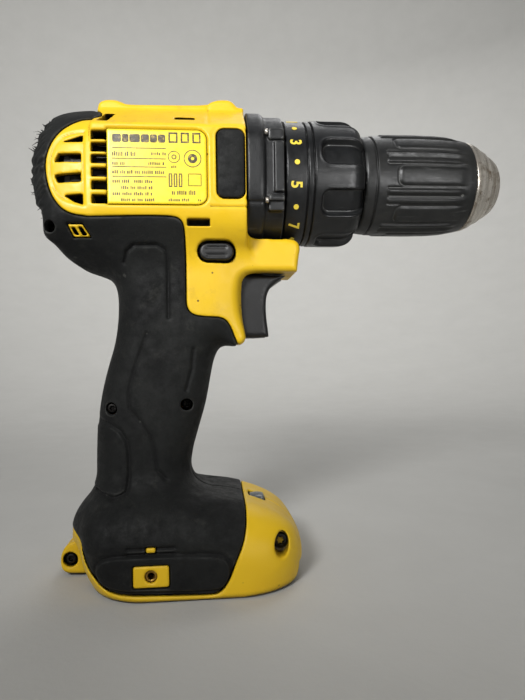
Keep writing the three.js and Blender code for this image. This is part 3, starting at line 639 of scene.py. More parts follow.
def moulded_yellow():
    """Yellow plastic: rubbed and specked, with painted shade in its creases and near-black painted shade
    deep in its holes and gaps.
    """
    f = Finish("moulded_yellow", Specular_IOR_Level=0.42)
    shade = f.mix(f.noise(18, 4), colour(224, 180, 22), colour(236, 196, 32))
    rubbed = f.maths("MULTIPLY", f.fade(f.noise(5, 6, 0.7), 0.5, 0.72), f.fade(f.noise(30, 3), 0.42, 0.7))
    dusty = f.tint(shade, rubbed, 0.35, colour(164, 130, 52))
    specks = f.fade(f.cells(4.4), 0.11, 0.07)
    marked = f.tint(dusty, specks, f.fade(f.noise(9), 0.52, 0.6), colour(92, 66, 26))
    # painted shade: concave creases darkened to a dark brown
    shaded_creases = f.tint(marked, f.edges(0.492, 0.455), 0.7, colour(74, 50, 16))
    # painted shade: deep in holes and gaps the yellow goes near black, by ambient occlusion
    base = f.mix(f.crevices(6, 0.25, 0.62), shaded_creases, colour(14, 11, 6))
    roughness = f.patches(7, 5, 0.65, 0.36, 0.54)
    grain = f.bump(f.noise(0.42, 2), 0.035)
    waves = f.bump(f.noise(14, 2), 0.10, grain)
    return f.finish(base, roughness, waves)


def worn_rubber():
    """Black rubber: dusty, pitted and creased, with painted shade in its concave creases."""
    f = Finish("worn_rubber", Specular_IOR_Level=0.24, Sheen_Weight=0.03, Sheen_Roughness=0.5)
    clouds = f.mix(f.fade(f.noise(24, 6, 0.62), 0.36, 0.66), colour(12, 13, 13), colour(25, 26, 25))
    blotches = f.fade(f.noise(6.5, 7, 0.72), 0.54, 0.72)
    dusty = f.tint(clouds, blotches, 0.35, colour(54, 54, 50))
    pits = f.fade(f.cells(2.1), 0.16, 0.08)
    pitted = f.tint(dusty, pits, f.fade(f.noise(11), 0.45, 0.62), colour(13, 13, 13))
    # painted shade: concave creases darkened to near black
    shaded_creases = f.tint(pitted, f.edges(0.49, 0.46), 0.7, colour(9, 9, 9))
    base = f.tint(shaded_creases, f.edges(0.52, 0.57), 0.35, colour(84, 84, 80))
    roughness = f.patches(4, 5, 0.7, 0.58, 0.86)
    grain = f.bump(f.noise(0.55, 3, 0.6), 0.08)
    creases = f.bump(f.noise(3.2, 6, 0.68), 0.2, grain)
    return f.finish(base, roughness, creases)


def black_plastic(name, dark, light, rough_low, rough_high, wear):
    """Black plastic with streaks along x, painted shade in concave creases, and edges worn grey."""
    f = Finish(name, Specular_IOR_Level=0.5)
    clouds = f.mix(f.fade(f.noise(12, 5, 0.6), 0.35, 0.68), dark, light)
    streaks = f.fade(f.noise(1.6, 4, 0.6, f.stretched(0.12, 1, 1)), 0.6, 0.74)
    scuffed = f.tint(clouds, streaks, 0.4 * wear, colour(96, 96, 95))
    # painted shade: concave creases darkened to near black
    shaded_creases = f.tint(scuffed, f.edges(0.49, 0.46), 0.6, colour(9, 9, 10))
    base = f.tint(shaded_creases, f.edges(0.52, 0.58), 0.6 * wear, colour(124, 124, 121))
    roughness = f.patches(3.5, 5, 0.7, rough_low, rough_high)
    grain = f.bump(f.noise(0.4, 2), 0.04)
    dents = f.bump(f.noise(5, 3), 0.08, grain)
    return f.finish(base, roughness, dents)


def turned_steel():
    """Bare steel with fine lines round the axis, browned where bits and hands rub it."""
    f = Finish("turned_steel", metallic=0.75)
    rings = f.noise(0.28, 3, 0.6, f.stretched(1, 0.015, 0.015))
    bands = f.noise(2.2, 3, 0.6, f.stretched(1, 0.05, 0.05))
    shade = f.mix(f.fade(bands, 0.35, 0.65), colour(186, 178, 166), colour(228, 222, 212))
    browned = f.mix(f.fade(f.noise(7, 6, 0.7), 0.5, 0.7), shade, colour(120, 102, 80))
    lined = f.tint(browned, f.fade(rings, 0.5, 0.72), 0.45, colour(104, 94, 82))
    roughness = f.patches(2.4, 5, 0.7, 0.24, 0.42)
    return f.finish(lined, roughness, f.bump(rings, 0.03))


COARSE = (4, 1.8, 0.6)     # millimetres across clouds, roughness patches and grain
FINE = (3, 1.5, 0.5)


def plain_metal(name, low, high, rough_low, rough_high, clouds_mm, patches_mm, grain_mm):
    f = Finish(name, metallic=1.0)
    shade = f.mix(f.noise(clouds_mm, 5, 0.65), low, high)
    roughness = f.patches(patches_mm, 4, 0.55, rough_low, rough_high)
    return f.finish(shade, roughness, f.bump(f.noise(grain_mm, 3), 0.03))


def label_film():
    f = Finish("label_film", Specular_IOR_Level=0.42, Coat_Weight=0.12, Coat_Roughness=0.26)
    shade = f.mix(f.noise(20, 3), colour(236, 210, 36), colour(244, 220, 50))
    rubbed = f.fade(f.noise(3.2, 7, 0.75), 0.56, 0.72)
    base = f.tint(shade, rubbed, 0.3, colour(190, 160, 70))
    roughness = f.patches(2.5, 5, 0.7, 0.28, 0.46)
    return f.finish(base, roughness, f.bump(f.noise(1.1, 4), 0.02))


def ink(name, solid, faded, wear_low, wear_high):
    """Printed ink, thinned by rubbing."""
    f = Finish(name)
    base = f.mix(f.fade(f.noise(1.1, 5, 0.75), wear_low, wear_high), solid, faded)
    roughness = f.patches(2, 4, 0.55, 0.4, 0.6)
    return f.finish(base, roughness, f.bump(f.noise(0.5, 3), 0.02))


def soft_plastic(name, low, high, rough):
    f = Finish(name)
    shade = f.mix(f.noise(5, 5, 0.6), low, high)
    roughness = f.patches(3, 4, 0.55, rough - 0.1, rough + 0.1)
    return f.finish(shade, roughness, f.bump(f.noise(0.5, 3), 0.04))


def pale_floor():
    f = Finish("pale_floor", Specular_IOR_Level=0.2)
    shade = f.mix(f.noise(60, 5, 0.6), colour(190, 189, 185), colour(200, 199, 195))
    roughness = f.patches(20, 4, 0.55, 0.7, 0.9)
    return f.finish(shade, roughness, f.bump(f.noise(3, 4), 0.12))


YELLOW = moulded_yellow()
RUBBER_BLACK = worn_rubber()
CASE_BLACK = black_plastic("case_black", colour(17, 18, 19), colour(28, 29, 30), 0.36, 0.52, 0.7)
COLLAR_BLACK = black_plastic("collar_black", colour(14, 15, 16), colour(25, 26, 27), 0.3, 0.44, 0.6)
SLEEVE_BLACK = black_plastic("sleeve_black", colour(21, 22, 22), colour(37, 37, 36), 0.36, 0.52, 1.0)
TRIGGER_BLACK = black_plastic("trigger_black", colour(14, 14, 15), colour(22, 22, 23), 0.42, 0.56, 0.12)
STEEL = turned_steel()
DARK_STEEL = plain_metal("dark_steel", colour(62, 60, 58), colour(108, 104, 99), 0.36, 0.6, *FINE)
BLACK_STEEL = plain_metal("black_steel", colour(28, 28, 28), colour(62, 60, 58), 0.36, 0.6, *FINE)
BRASS = plain_metal("brass", colour(150, 116, 54), colour(196, 160, 84), 0.28, 0.45, *COARSE)
COPPER = plain_metal("copper", colour(150, 84, 50), colour(190, 116, 74), 0.3, 0.5, *COARSE)
LABEL = label_film()
LABEL_INK = ink("label_ink", colour(58, 46, 18), colour(196, 168, 66), 0.5, 0.72)
DIAL_INK = ink("dial_ink", colour(232, 206, 70), colour(150, 130, 52), 0.6, 0.8)
CARBON = soft_plastic("carbon", colour(26, 26, 26), colour(48, 48, 48), 0.7)
GREY_PLASTIC = soft_plastic("grey_plastic", colour(56, 58, 60), colour(76, 78, 80), 0.55)
GREEN_BOARD = soft_plastic("green_board", colour(22, 74, 40), colour(34, 96, 54), 0.5)
LENS = soft_plastic("clear_lens", colour(70, 75, 77), colour(98, 103, 105), 0.2)


# ------------------------------------------------------------------ housing and overmould


def outer_body(g):
    """Outside of the housing with its overmould, without details."""
    side = from_side(BARREL_SIDE, g)
    section = polygon_distance(BARREL_SECTION, g.w, g.z)
    dome = polygon_distance(REAR_DOME, g.x, np.hypot(g.w, np.maximum(g.z, 0)))
    rails = prism(from_side(TOP_RAIL_SIDE, g), g.w, RAIL_HALF_WIDTH, 1.4)
    well = rectangle(g.x, g.z, (-58, -26), (24.2, 40))
    barrel = both(both(side, section, 1.4), dome, 2.0)
    barrel = union(barrel, rails, 0.8)
    barrel = without(barrel, np.maximum(well, g.w - WELL_HALF_WIDTH), 0.6)
    barrel = both(barrel, g.x - CASE_BACK_X, 0.8)
    handle = prism(from_side(HANDLE_SIDE, g), g.w, HANDLE_HALF_WIDTH, 13.0)
    guard = prism(from_side(TRIGGER_GUARD_SIDE, g), g.w, GUARD_HALF_WIDTH, 2.4)
    foot = prism(from_side(FOOT_SIDE, g), g.w, FOOT_HALF_WIDTH, 18.0)
    foot = both(foot, polygon_distance(FOOT_PLAN, g.x, g.w), 5.0)
    body = union(union(barrel, handle, 9.0), foot, 9.0)
    body = union(body, guard, 5.0)
    point = SCREW_POINTS["rear_screw"]
    boss = np.hypot(g.x - point.x, g.z - point.z) - REAR_BOSS["r"]
    body = union(body, prism(boss, g.w, REAR_BOSS["half_width"], 1.0), 1.5)
    cradle = from_side(CASE_CRADLE, g)
    round_case = np.hypot(g.w, g.z) - CASE_ROOM_RADIUS
    front = np.minimum(cradle, np.maximum(round_case, CASE_BACK_X - g.x))
    body = without(body, front, 0.6)
    return both(body, FLOOR_Z - g.z, 2.0)


def hollow(g, body):
    """The space inside the housing: motor, handle, trigger opening and battery bay."""
    motor_room = np.maximum(np.hypot(g.w, g.z) - MOTOR_ROOM_RADIUS, -88.0 - g.x)
    barrel = np.maximum(motor_room, body + WALL)
    handle = from_side(HANDLE_SIDE, g) + HANDLE_ROOM["wall"]
    handle = np.maximum(handle, g.w - HANDLE_ROOM["half_width"])
    handle = np.maximum(handle, BAY_ROOF + 3 - g.z)
    low, high = BAY["rail_z"]
    inner = np.maximum(BAY["back"] - g.x, g.z - BAY_ROOF)
    front_gap = np.maximum(g.z - BAY_FRONT_GAP["top"], g.w - BAY_FRONT_GAP["half_width"])
    plan = polygon_distance(FOOT_PLAN, g.x, g.w) + 6.0
    nose = np.maximum(plan, from_side(FOOT_SIDE, g) + 4.0)
    inner = np.maximum(inner, np.minimum(nose, front_gap))
    above_rail = np.maximum(g.w - BAY["half_width"], FLOOR_Z + high - g.z)
    below_rail = np.maximum(g.w - BAY["half_width"], g.z - FLOOR_Z - low)
    bay = np.maximum(inner, np.minimum(np.minimum(above_rail, below_rail), g.w - BAY["rail_half_gap"]))
    trigger_hole = np.maximum(rectangle(g.x, g.z, (-30, 40), (-64.2, -38.0)), g.w - 9.5)
    boss = np.hypot(g.x - NOSE_HOLE["x"], g.z - NOSE_HOLE["z"]) - NOSE_BOSS["r"]
    boss = both(boss, NOSE_BOSS["inner_face"] - g.w)
    return union(union(union(barrel, handle), without(bay, boss)), trigger_hole)


def through(outline, g, floor_w):
    """A hole from the side down to a distance from the middle plane."""
    return both(outline, floor_w - g.w, 0.3)


def ellipse(g, x, z, half_x, half_z):
    """Distance to an upright ellipse, close to its edge."""
    return (np.hypot((g.x - x) / half_x, (g.z - z) / half_z) - 1) * min(half_x, half_z)


def pill_distance(g, low, high):
    """Distance to a long oval that fills a box, seen from the side."""
    r = (high.z - low.z) / 2
    reach = np.maximum(np.abs(g.x - (low.x + high.x) / 2) - (high.x - low.x) / 2 + r, 0)
    return np.hypot(reach, g.z - (low.z + high.z) / 2) - r


def label_outline(g, grow=0.0):
    """The label's outline: square corners at its back and round ones at its front."""
    z = (label_low.z - grow, label_high.z + grow)
    square = rectangle(g.x, g.z, (label_low.x - grow, label_low.x + 12), z, 0.3)
    whole = rectangle(g.x, g.z, (label_low.x - grow, label_high.x + grow), z, 3.4 + grow)
    return np.minimum(square, whole)


def pad_outline(g, grow=0.0):
    """The side pad's outline."""
    x = (pad_low.x - grow, pad_high.x + grow)
    return rectangle(g.x, g.z, x, (pad_low.z - grow, pad_high.z + grow), 2.6 + grow)


def grip_area(g):
    """Where the overmould covers the housing, seen from the side, less its small windows."""
    area = from_side(GRIP_AREA, g)
    windows = [
        rectangle(g.x, g.z, FOOT_WINDOW["x"], FOOT_WINDOW["z"], 1.0),
        rectangle(g.x, g.z, FOOT_TAB["x"], FOOT_TAB["z"], 0.5),
        from_side(WINDOW_FRAME, g) - 0.3,
    ]
    cut = area
    for window in windows:
        cut = without(cut, window)
    on_side = (g.w > 9) & (g.z < -18)
    return np.where(on_side, cut, area)


def overmould_face(g, body):
    """Outer surface of the rubber: foot bar, slits, grooves and pads."""
    rubber = body - 0.3
    # the bumper's back edge is worn uneven
    lumps = 0.3 * np.sin(1.1 * g.z + 2 * np.sin(0.37 * g.z) + 0.3 * g.w)
    lumps = lumps + 0.28 * np.sin(2.3 * g.z - 0.9 * g.w + 2 * np.sin(0.7 * g.z))
    rubber = rubber + lumps * step_between(-g.x, 83, 88) * step_between(g.z, -20, -14)
    bar = from_side(FOOT_BAR, g)
    on_foot = step_between(g.w, 20, 26)
    rubber = rubber + 0.9 * on_foot * step_between(bar, -0.4, 0.4) * step_between(-g.z, 136, 142)
    rubber = rubber + groove(bar - 0.7, 1.2, 0.6) * on_foot * step_between(-g.z, 138, 141)
    for z in FOOT_SLITS["z"]:
        slit = rectangle(g.x, g.z, FOOT_SLITS["x"], (z - 0.2, z + 0.2))
        rubber = rubber + groove(np.maximum(slit, 0), 0.8, 0.9) * on_foot
    for line, depth in GRIP_LINES:
        rubber = rubber + groove(line_distance(line, g.x, g.z), 1.3, depth) * step_between(g.w, 5, 9)
    palm = from_side(PALM_PATCH, g)
    rubber = rubber - 0.4 * step_between(-palm, 0.2, 1.2) * step_between(g.w, 4, 8)
    point = SCREW_POINTS["grip_screw_rear"]
    rim = np.abs(np.hypot(g.x - point.x, g.z - point.z) - 3.0)
    return rubber - 0.25 * np.exp(-(rim / 0.5) ** 2) * step_between(g.w, 4, 8)


def shell_face(g, body):
    """Outer surface of the yellow housing: louvre field, rims, grooves and a sunk strip beside the label.
    """
    louvre_area = from_side(LOUVRE_AREA, g)
    shell = body + 0.5 * step_between(-louvre_area, -0.2, 0.5)
    shell = shell + groove(louvre_area, 1.1, 0.35)
    shell = shell + groove(np.abs(pad_outline(g, 1.6)), 0.9, 0.3)
    beside_label = label_high.x + 0.6
    ledge = rectangle(g.x, g.z, (beside_label, 20), (-16.4, -15.6))
    shell = shell + 0.5 * step_between(-ledge, -0.2, 0.5)
    crease = line_distance([(beside_label, 30), (beside_label, 14.2), (20, 14.2)], g.x, g.z)
    return shell + groove(crease, 0.9, 0.22)


def housing_holes(g):
    """What is cut through the yellow housing on both sides."""
    yield through(label_outline(g, 0.45), g, BARREL_HALF_WIDTH - 1.0), 0.0
    yield through(pad_outline(g, 0.5), g, BARREL_HALF_WIDTH - 1.4), 0.3
    for top in VENT_TOPS:
        yield through(rectangle(g.x, g.z, VENT_X, (top - VENT_HEIGHT, top)), g, VENT_FLOOR), 0.2
    for outline in LOUVRES:
        yield through(from_side(outline, g), g, LOUVRE_FLOOR), 0.2
    for outline in (SIDE_SLOT, TOP_SLOT, TOP_NOTCH, *WINDOW_CELLS):
        yield through(from_side(outline, g), g, SLOT_FLOOR), 0.2
    yield both(pill_distance(g, button_low, button_high) - 0.7, 10.0 - g.w), 0.5
    nut_x, nut_z = (nut_low.x + nut_high.x) / 2, (nut_low.z + nut_high.z) / 2
    yield through(np.hypot(g.x - nut_x, g.z - nut_z) - 2.2, g, -nut_high.y - 0.4), 0.4
    lens = rectangle(g.x, g.w, (lens_low.x - 0.4, lens_high.x + 0.4), (-9, lens_high.y + 0.4), 1.0)
    yield np.maximum(lens, np.maximum(lens_low.z - LENS_DROP - 1 - g.z, g.z + 118)), 0.3


def screw_recess(name, g, extra):
    """The round hole over a screw head."""
    point = SCREW_POINTS[name]
    low, _ = node_box(name)
    radius = np.hypot(g.x - point.x, g.z - point.z) - SCREWS[name]["r"] - 0.35 - extra
    return through(radius, g, -low.y - SCREWS[name]["sunk"] - 2.8)


def lug(g):
    """The eyelet behind the foot, which takes a case screw."""
    return prism(from_side(LUG_SIDE, g), g.w, LUG_HALF_WIDTH, 0.8)


def both_shells():
    """Fields of a yellow housing half and of its overmould, before the screw holes are cut."""
    g = Grid((-97, -1.5, FLOOR_Z - 2), (12.5, 35, 33), 0.5)
    body = outer_body(g)
    inside = hollow(g, body)
    area = grip_area(g)
    skin = without(overmould_face(g, body), body + RUBBER)
    skin = both(both(skin, area + SEAM, 0.8), SEAM - g.w, 0.7)
    shell = both(shell_face(g, body), SEAM - area, 0.8)
    shell = union(shell, body + RUBBER + 0.1)    # the housing goes on under the rubber
    for hole, soft in housing_holes(g):
        shell = without(shell, hole, soft)
    shell = union(shell, lug(g), 0.6)
    clearance = from_side(LUG_SIDE, g) - 0.4
    skin = without(skin, np.maximum(clearance, g.w - LUG_HALF_WIDTH - 0.4), 0.4)
    return g, without(shell, inside), without(skin, inside)


def side_shells(side, word, g, shell, skin):
    """The housing half and overmould of one side. Screw heads are on the right side only."""
    if side < 0:
        for name in SCREWS:
            if name != "foot_nose_screw":
                shell = without(shell, screw_recess(name, g, 0.5), 0.2)
                skin = without(skin, screw_recess(name, g, 0.0), 0.4)
        hole = ellipse(g, NOSE_HOLE["x"], NOSE_HOLE["z"], NOSE_HOLE["half_x"], NOSE_HOLE["half_z"])
        shell = without(shell, through(hole, g, NOSE_HOLE["floor"]), 0.7)
    shell = both(shell, SEAM - g.w, 0.5)
    house = field_piece(f"shell_{word}", shell, g, side, YELLOW)
    hand_in(house, "housing", "yellow_housing", f"housing_{word}")
    cover = field_piece(f"overmould_{word}", skin, g, side, RUBBER_BLACK)
    return hand_in(cover, "housing", "overmould", f"grip_{word}")


SHREDS = 64
SHRED_CLUMPS = 9


def frayed_edge(cover, word):
    """Shreds of worn rubber that stand off the back of the overmould."""
    count = len(cover.data.vertices)
    spots, normals = np.empty(count * 3), np.empty(count * 3)
    cover.data.vertices.foreach_get("co", spots)
    cover.data.vertices.foreach_get("normal", normals)
    spots = spots.reshape(-1, 3) / MM - (0, 0, AXIS_HEIGHT)
    normals = normals.reshape(-1, 3)
    across = np.abs(spots[:, 1])
    behind = (spots[:, 0] < -82) & (spots[:, 2] > -26) & (spots[:, 2] < 24) & (normals[:, 0] < -0.25)
    chosen = np.flatnonzero(behind & (across > 3) & (across < 14))
    dice = np.random.default_rng(7)
    clumps = dice.uniform(-14, 22, SHRED_CLUMPS)
    chosen = chosen[np.abs(spots[chosen, 2][:, None] - clumps).min(axis=1) < 1.0]
    points = []
    faces = []
    for spot in dice.choice(chosen, min(SHREDS, len(chosen)), replace=False):
        length = 0.5 + 2.4 * dice.uniform() ** 3
        radius = dice.uniform(0.12, 0.26)
        along = normals[spot]
        aside = np.cross(along, dice.normal(size=3))
        aside /= np.linalg.norm(aside)
        third = np.cross(along, aside)
        bend = dice.normal(size=3) * 0.5
        base = len(points)
        for t in (-0.3, 0.15, 0.5, 0.8, 1.0):
            middle = spots[spot] + along * length * t + bend * length * max(t, 0) ** 2
            r = radius * (1.15 - max(t, 0)) ** 0.7
            for a in np.arange(6) * np.pi / 3:
                points.append(middle + (aside * math.cos(a) * 1.5 + third * math.sin(a)) * r)
        faces += ring_faces(5, 6, base)
    shreds = new_mesh(f"frayed_rubber_{word}", points, faces, RUBBER_BLACK)
    hand_in(shreds, "housing", "overmould")


half_grid, half_shell, half_skin = both_shells()
for one_side, side_word in SIDES:
    rubber = side_shells(one_side, side_word, half_grid, half_shell, half_skin)
    frayed_edge(rubber, side_word)


# ------------------------------------------------------------------ gear case


def gear_case():
    """The black case between housing and collar: a band, a hollow with a bar, blocks and a neck."""
    g = Grid((case_low.x - 1, -28, -27.5), (case_high.x + 1, 28, 28), 0.45)
    around = np.hypot(g.w, g.z)
    beside = np.abs(g.w)
    band = rectangle(g.w, g.z, (-26, 26), (-25.2, 26.6), 9.0)
    body = both(both(band, around - 27.6, 2.0), g.x + 5.2, 2.4)
    middle = both(rectangle(g.w, g.z, (-24.2, 24.2), (-24.2, 24.4), 13.0), around - 26.2, 1.0)
    body = union(body, both(middle, g.x - 2.0, 0.8), 0.4)
    bar = both(rectangle(g.x, g.z, (-2.1, 1.5), (-9.8, 9.0), 0.4), beside - 25.8, 0.5)
    body = union(body, bar, 0.2)
    for z in ((9.8, 14.0), (-16.4, -10.8)):
        block = both(rectangle(g.x, g.z, (-4.4, 1.7), z, 0.9), beside - 25.2, 0.6)
        body = union(body, block, 0.2)
    below = both(rectangle(g.x, g.z, (-60, 40), (-60, -13.0)), 23.6 - beside)
    body = without(body, below, 0.6)
    body = both(body, CASE_BACK_X + 0.3 - g.x, 0.4)
    spigot = np.maximum(around - 22.9, g.x + 6)
    neck = np.maximum(around - 14.6, -g.x)
    body = union(union(body, spigot), neck)
    bore = np.maximum(around - 21.8, g.x - 1.2)
    bearing = np.maximum(around - 12.4, 23.6 - g.x)
    body = without(body, union(union(bore, bearing), around - 8.2))
    body = both(body, both(case_low.x - g.x, g.x - case_high.x), 0.4)
    vertices, quads = surface_net(body, g)
    piece = new_mesh("gear_case_shell", vertices, np.ascontiguousarray(quads), CASE_BLACK)
    return hand_in(piece, "housing", "black_plastic", "gear_case")


def case_screw_tips():
    """Four screw tips that show in the hollow behind the bar."""
    points = []
    faces = []
    for side in (-1, 1):
        for z in (12.6, -13.0):
            base = len(points)
            for x, r in ((-5.6, 1.0), (-4.7, 1.0), (-4.4, 0.7), (-4.3, 0.25)):
                for a in np.arange(20) * math.pi / 10:
                    points.append((x, side * 24.7 + r * math.cos(a), z + r * math.sin(a)))
            faces += ring_faces(4, 20, base)
    piece = new_mesh("case_screw_tips", points, faces, STEEL)
    return hand_in(piece, "housing", "dark_steel")


gear_case()
case_screw_tips()


# ------------------------------------------------------------------ collar, sleeve and nose

SCOOPS = 8
SCOOP_TURN = math.radians(-30.8)
SLEEVE_UNITS = 8
JAW_LEAN = 13.5            # degrees between a jaw's path and the chuck axis
DIAL_R = 24.9
DIAL_X = 6.5
DIAL_STEP = math.radians(19.05)
DIAL_THREE = math.radians(22.3)
MARK_DEPTH = 0.12
DOT = [(math.cos(a), math.sin(a)) for a in np.arange(24) * math.pi / 12]
DRILL_BAR = [(-0.8, -2.2), (0.8, -2.2), (0.8, 2.2), (-0.8, 2.2)]


def collar_relief(x, r, angle):
    """Finger scoops round the collar's grip."""
    pitch = 2 * np.pi / SCOOPS
    around = (angle - SCOOP_TURN + pitch / 2) % pitch - pitch / 2
    along = x - collar_low.x
    scoop = rectangle(along, around * 25, (13.8, 50), (-5.3, 5.3), 3.8)
    depth = 2.5 * step_between(-scoop, 0.0, 0.8)
    lip = 0.25 * np.exp(-((scoop - 0.4) / 0.5) ** 2)
    outer = step_between(r, 20.0, 21.2) * (along > 12)
    return r - (depth - lip) * outer


def torque_collar():
    """The numbered ring and its grip, in one moulding."""
    back, front = collar_low.x, collar_high.x
    nose_arc = [(27.0 + 6.9 * math.sin(t), 19.4 + 5.8 * math.cos(t)) for t in np.linspace(0.05, 1.5, 7)]
    profile = [
        (back, 21), (back, 24.4), (back + 0.5, DIAL_R), (10.5, DIAL_R), (10.6, 24.1), (11.0, 24.1),
        (11.1, 24.9), (13.0, 25.0), (13.1, 24.2), (13.5, 24.2), (13.6, 25.2), *nose_arc,
        (front, 18.6), (front - 0.6, 18.0), (front - 0.6, 15.6), (front - 2.4, 15.6), (front - 2.4, 21),
    ]
    piece = turned("torque_ring", profile, COLLAR_BLACK, 0.5, 0.45, 432, collar_relief)
    return hand_in(piece, "collar", "black_plastic", "torque_collar")


def digit_points(text, height):
    """A number's flat mesh, as right and up millimetres with a thickness, and its faces."""
    curve = bpy.data.curves.new("digits", "FONT")
    curve.body = text
    curve.align_x = "CENTER"
    curve.size = height / 0.73
    curve.offset = 0.028 * curve.size
    curve.extrude = MARK_DEPTH
    curve.resolution_u = 5
    holder = bpy.data.objects.new("digits", curve)
    bpy.context.scene.collection.objects.link(holder)
    graph = bpy.context.evaluated_depsgraph_get()
    mesh = bpy.data.meshes.new_from_object(holder.evaluated_get(graph))
    points = [tuple(v.co) for v in mesh.vertices]
    faces = [tuple(f.vertices) for f in mesh.polygons]
    bpy.data.objects.remove(holder)
    bpy.data.meshes.remove(mesh)
    return points, faces


def mark_points(outline):
    """A plain mark's mesh, like a digit's."""
    points = [(u, v, t) for t in (-MARK_DEPTH, MARK_DEPTH) for u, v in outline]
    return points, ring_faces(2, len(outline))


def dial_marks():
    """Numbers 1 to 15, dots for the even steps and a plain bar for drilling, wrapped round the collar."""
    points = []
    faces = []
    for step in range(1, 17):
        if step == 16:
            flat, polygons = mark_points(DRILL_BAR)
        elif step % 2:
            flat, polygons = digit_points(str(step), 4.3)
            flat = [(u * 0.95, v - 2.15, t) for u, v, t in flat]
        else:
            flat, polygons = mark_points(DOT)
        turn = DIAL_THREE - DIAL_STEP * (step - 3)
        base = len(points)
        for u, v, t in flat:
            a = turn - u / DIAL_R
            r = DIAL_R + 0.04 + t
            points.append((DIAL_X + v, -r * math.cos(a), r * math.sin(a)))
        faces += [tuple(base + k for k in face) for face in polygons]
    piece = new_mesh("dial_marks", points, faces, DIAL_INK)
    tidy_normals(piece)
    piece.data.shade_flat()
    return hand_in(piece, "collar", "label")


def sleeve_relief(x, r, angle):
    """Panels, rails and grooves along the sleeve."""
    pitch = 2 * np.pi / SLEEVE_UNITS
    around = (angle + math.radians(4) + pitch / 2) % pitch - pitch / 2
    beside = (pitch / 2 - np.abs(around)) * 20.6
    fades = step_between(-x, -77, -71)
    panel = rectangle(x, around * 20.6, (47.6, 100), (-3.9, 3.9), 2.4)
    edge = 0.55 * np.exp(-((panel - 0.1) / 0.42) ** 2)
    swell = 0.25 * step_between(-panel, 0.2, 1.6)
    rails = 0.5 * step_between(-np.abs(beside - 1.9), -1.0, -0.55) * step_between(x, 42.8, 43.6)
    between = 0.45 * np.exp(-(beside / 0.5) ** 2) * step_between(x, 43, 44)
    beyond = 0.4 * np.exp(-((beside - 3.3) / 0.4) ** 2) * step_between(x, 42.8, 43.6)
    outer = step_between(r, 17.8, 18.4)
    return r - (edge - swell - rails + between + beyond) * fades * outer


def chuck_sleeve():
    """The plastic sleeve that opens and closes the chuck."""
    front = sleeve_high.x
    back = collar_high.x + 0.5
    profile = [
        (back, 15.4), (back, 18.9), (35.4, 19.5), (38.6, 19.9), (38.8, 19.3), (39.3, 19.3), (39.5, 20.1),
        (42.6, 20.2), (58, 20.3), (67, 20.1), (73, 19.7), (77.4, 19.1), (front, 18.5),
        (front, 17.5), (39.4, 17.5), (37.4, 15.4),
    ]
    piece = turned("sleeve_shell", profile, SLEEVE_BLACK, 0.3, 0.45, 432, sleeve_relief)
    return hand_in(piece, "sleeve", "black_plastic", "chuck_sleeve")


def jaw_drill(around):
    """A cylinder along one jaw's path, which leans to the chuck axis."""
    length = 93
    bpy.ops.mesh.primitive_cylinder_add(vertices=40, radius=3.25 * MM, depth=length * MM)
    drill = bpy.context.object
    slide = Matrix.Translation(Vector((0, 0, length / 2 - 53)) * MM)
    lean = Matrix.Rotation(math.radians(90 + JAW_LEAN), 4, "Y")
    place = Matrix.Translation(Vector((95, 0, 2)) * MM)
    turn = Matrix.Rotation(around, 4, "X")
    lift = Matrix.Translation(Vector((0, 0, AXIS_HEIGHT)) * MM)
    drill.data.transform(lift @ turn @ place @ lean @ slide)
    return drill


def chuck_nose():
    """The turned chuck body, bored for the shank and for its three jaws."""
    nose = sleeve_high.x + 0.3
    profile = [
        (37, 6.7), (37, 14), (39.5, 17.1), (57.2, 17.1), (57.2, 14), (64.8, 14), (64.8, 17.1),
        (nose, 17.1), (nose, 18.4), (81.6, 18.3), (84, 17.3), (86.4, 15.6), (88, 15.1), (88.5, 14.2),
        (91.2, 12.9), (93.2, 11.4), (94.3, 9.9), (NOSE_X, 9.0), (NOSE_X, 7.7), (93.2, 7), (52.3, 7),
        (52.3, 5.2), (48.6, 5.2), (48.6, 6.7),
    ]
    piece = turned("chuck_nose", profile, STEEL, 0.45, 0.6, 180)
    drills = [jaw_drill(2 * math.pi / 3 * i) for i in range(3)]
    for drill in drills:
        modifier = piece.modifiers.new("bore", "BOOLEAN")
        modifier.operation = "DIFFERENCE"
        modifier.solver = "EXACT"
        modifier.object = drill
    apply_modifiers(piece)
    for drill in drills:
        bpy.data.objects.remove(drill)
    return hand_in(piece, "spindle", "steel", "chuck_body")


def apply_modifiers(piece):
    """Puts a piece's modifiers into its mesh."""
    graph = bpy.context.evaluated_depsgraph_get()
    baked = bpy.data.meshes.new_from_object(piece.evaluated_get(graph))
    piece.modifiers.clear()
    piece.data = baked


torque_collar()
dial_marks()
chuck_sleeve()
chuck_nose()


# ------------------------------------------------------------------ screws


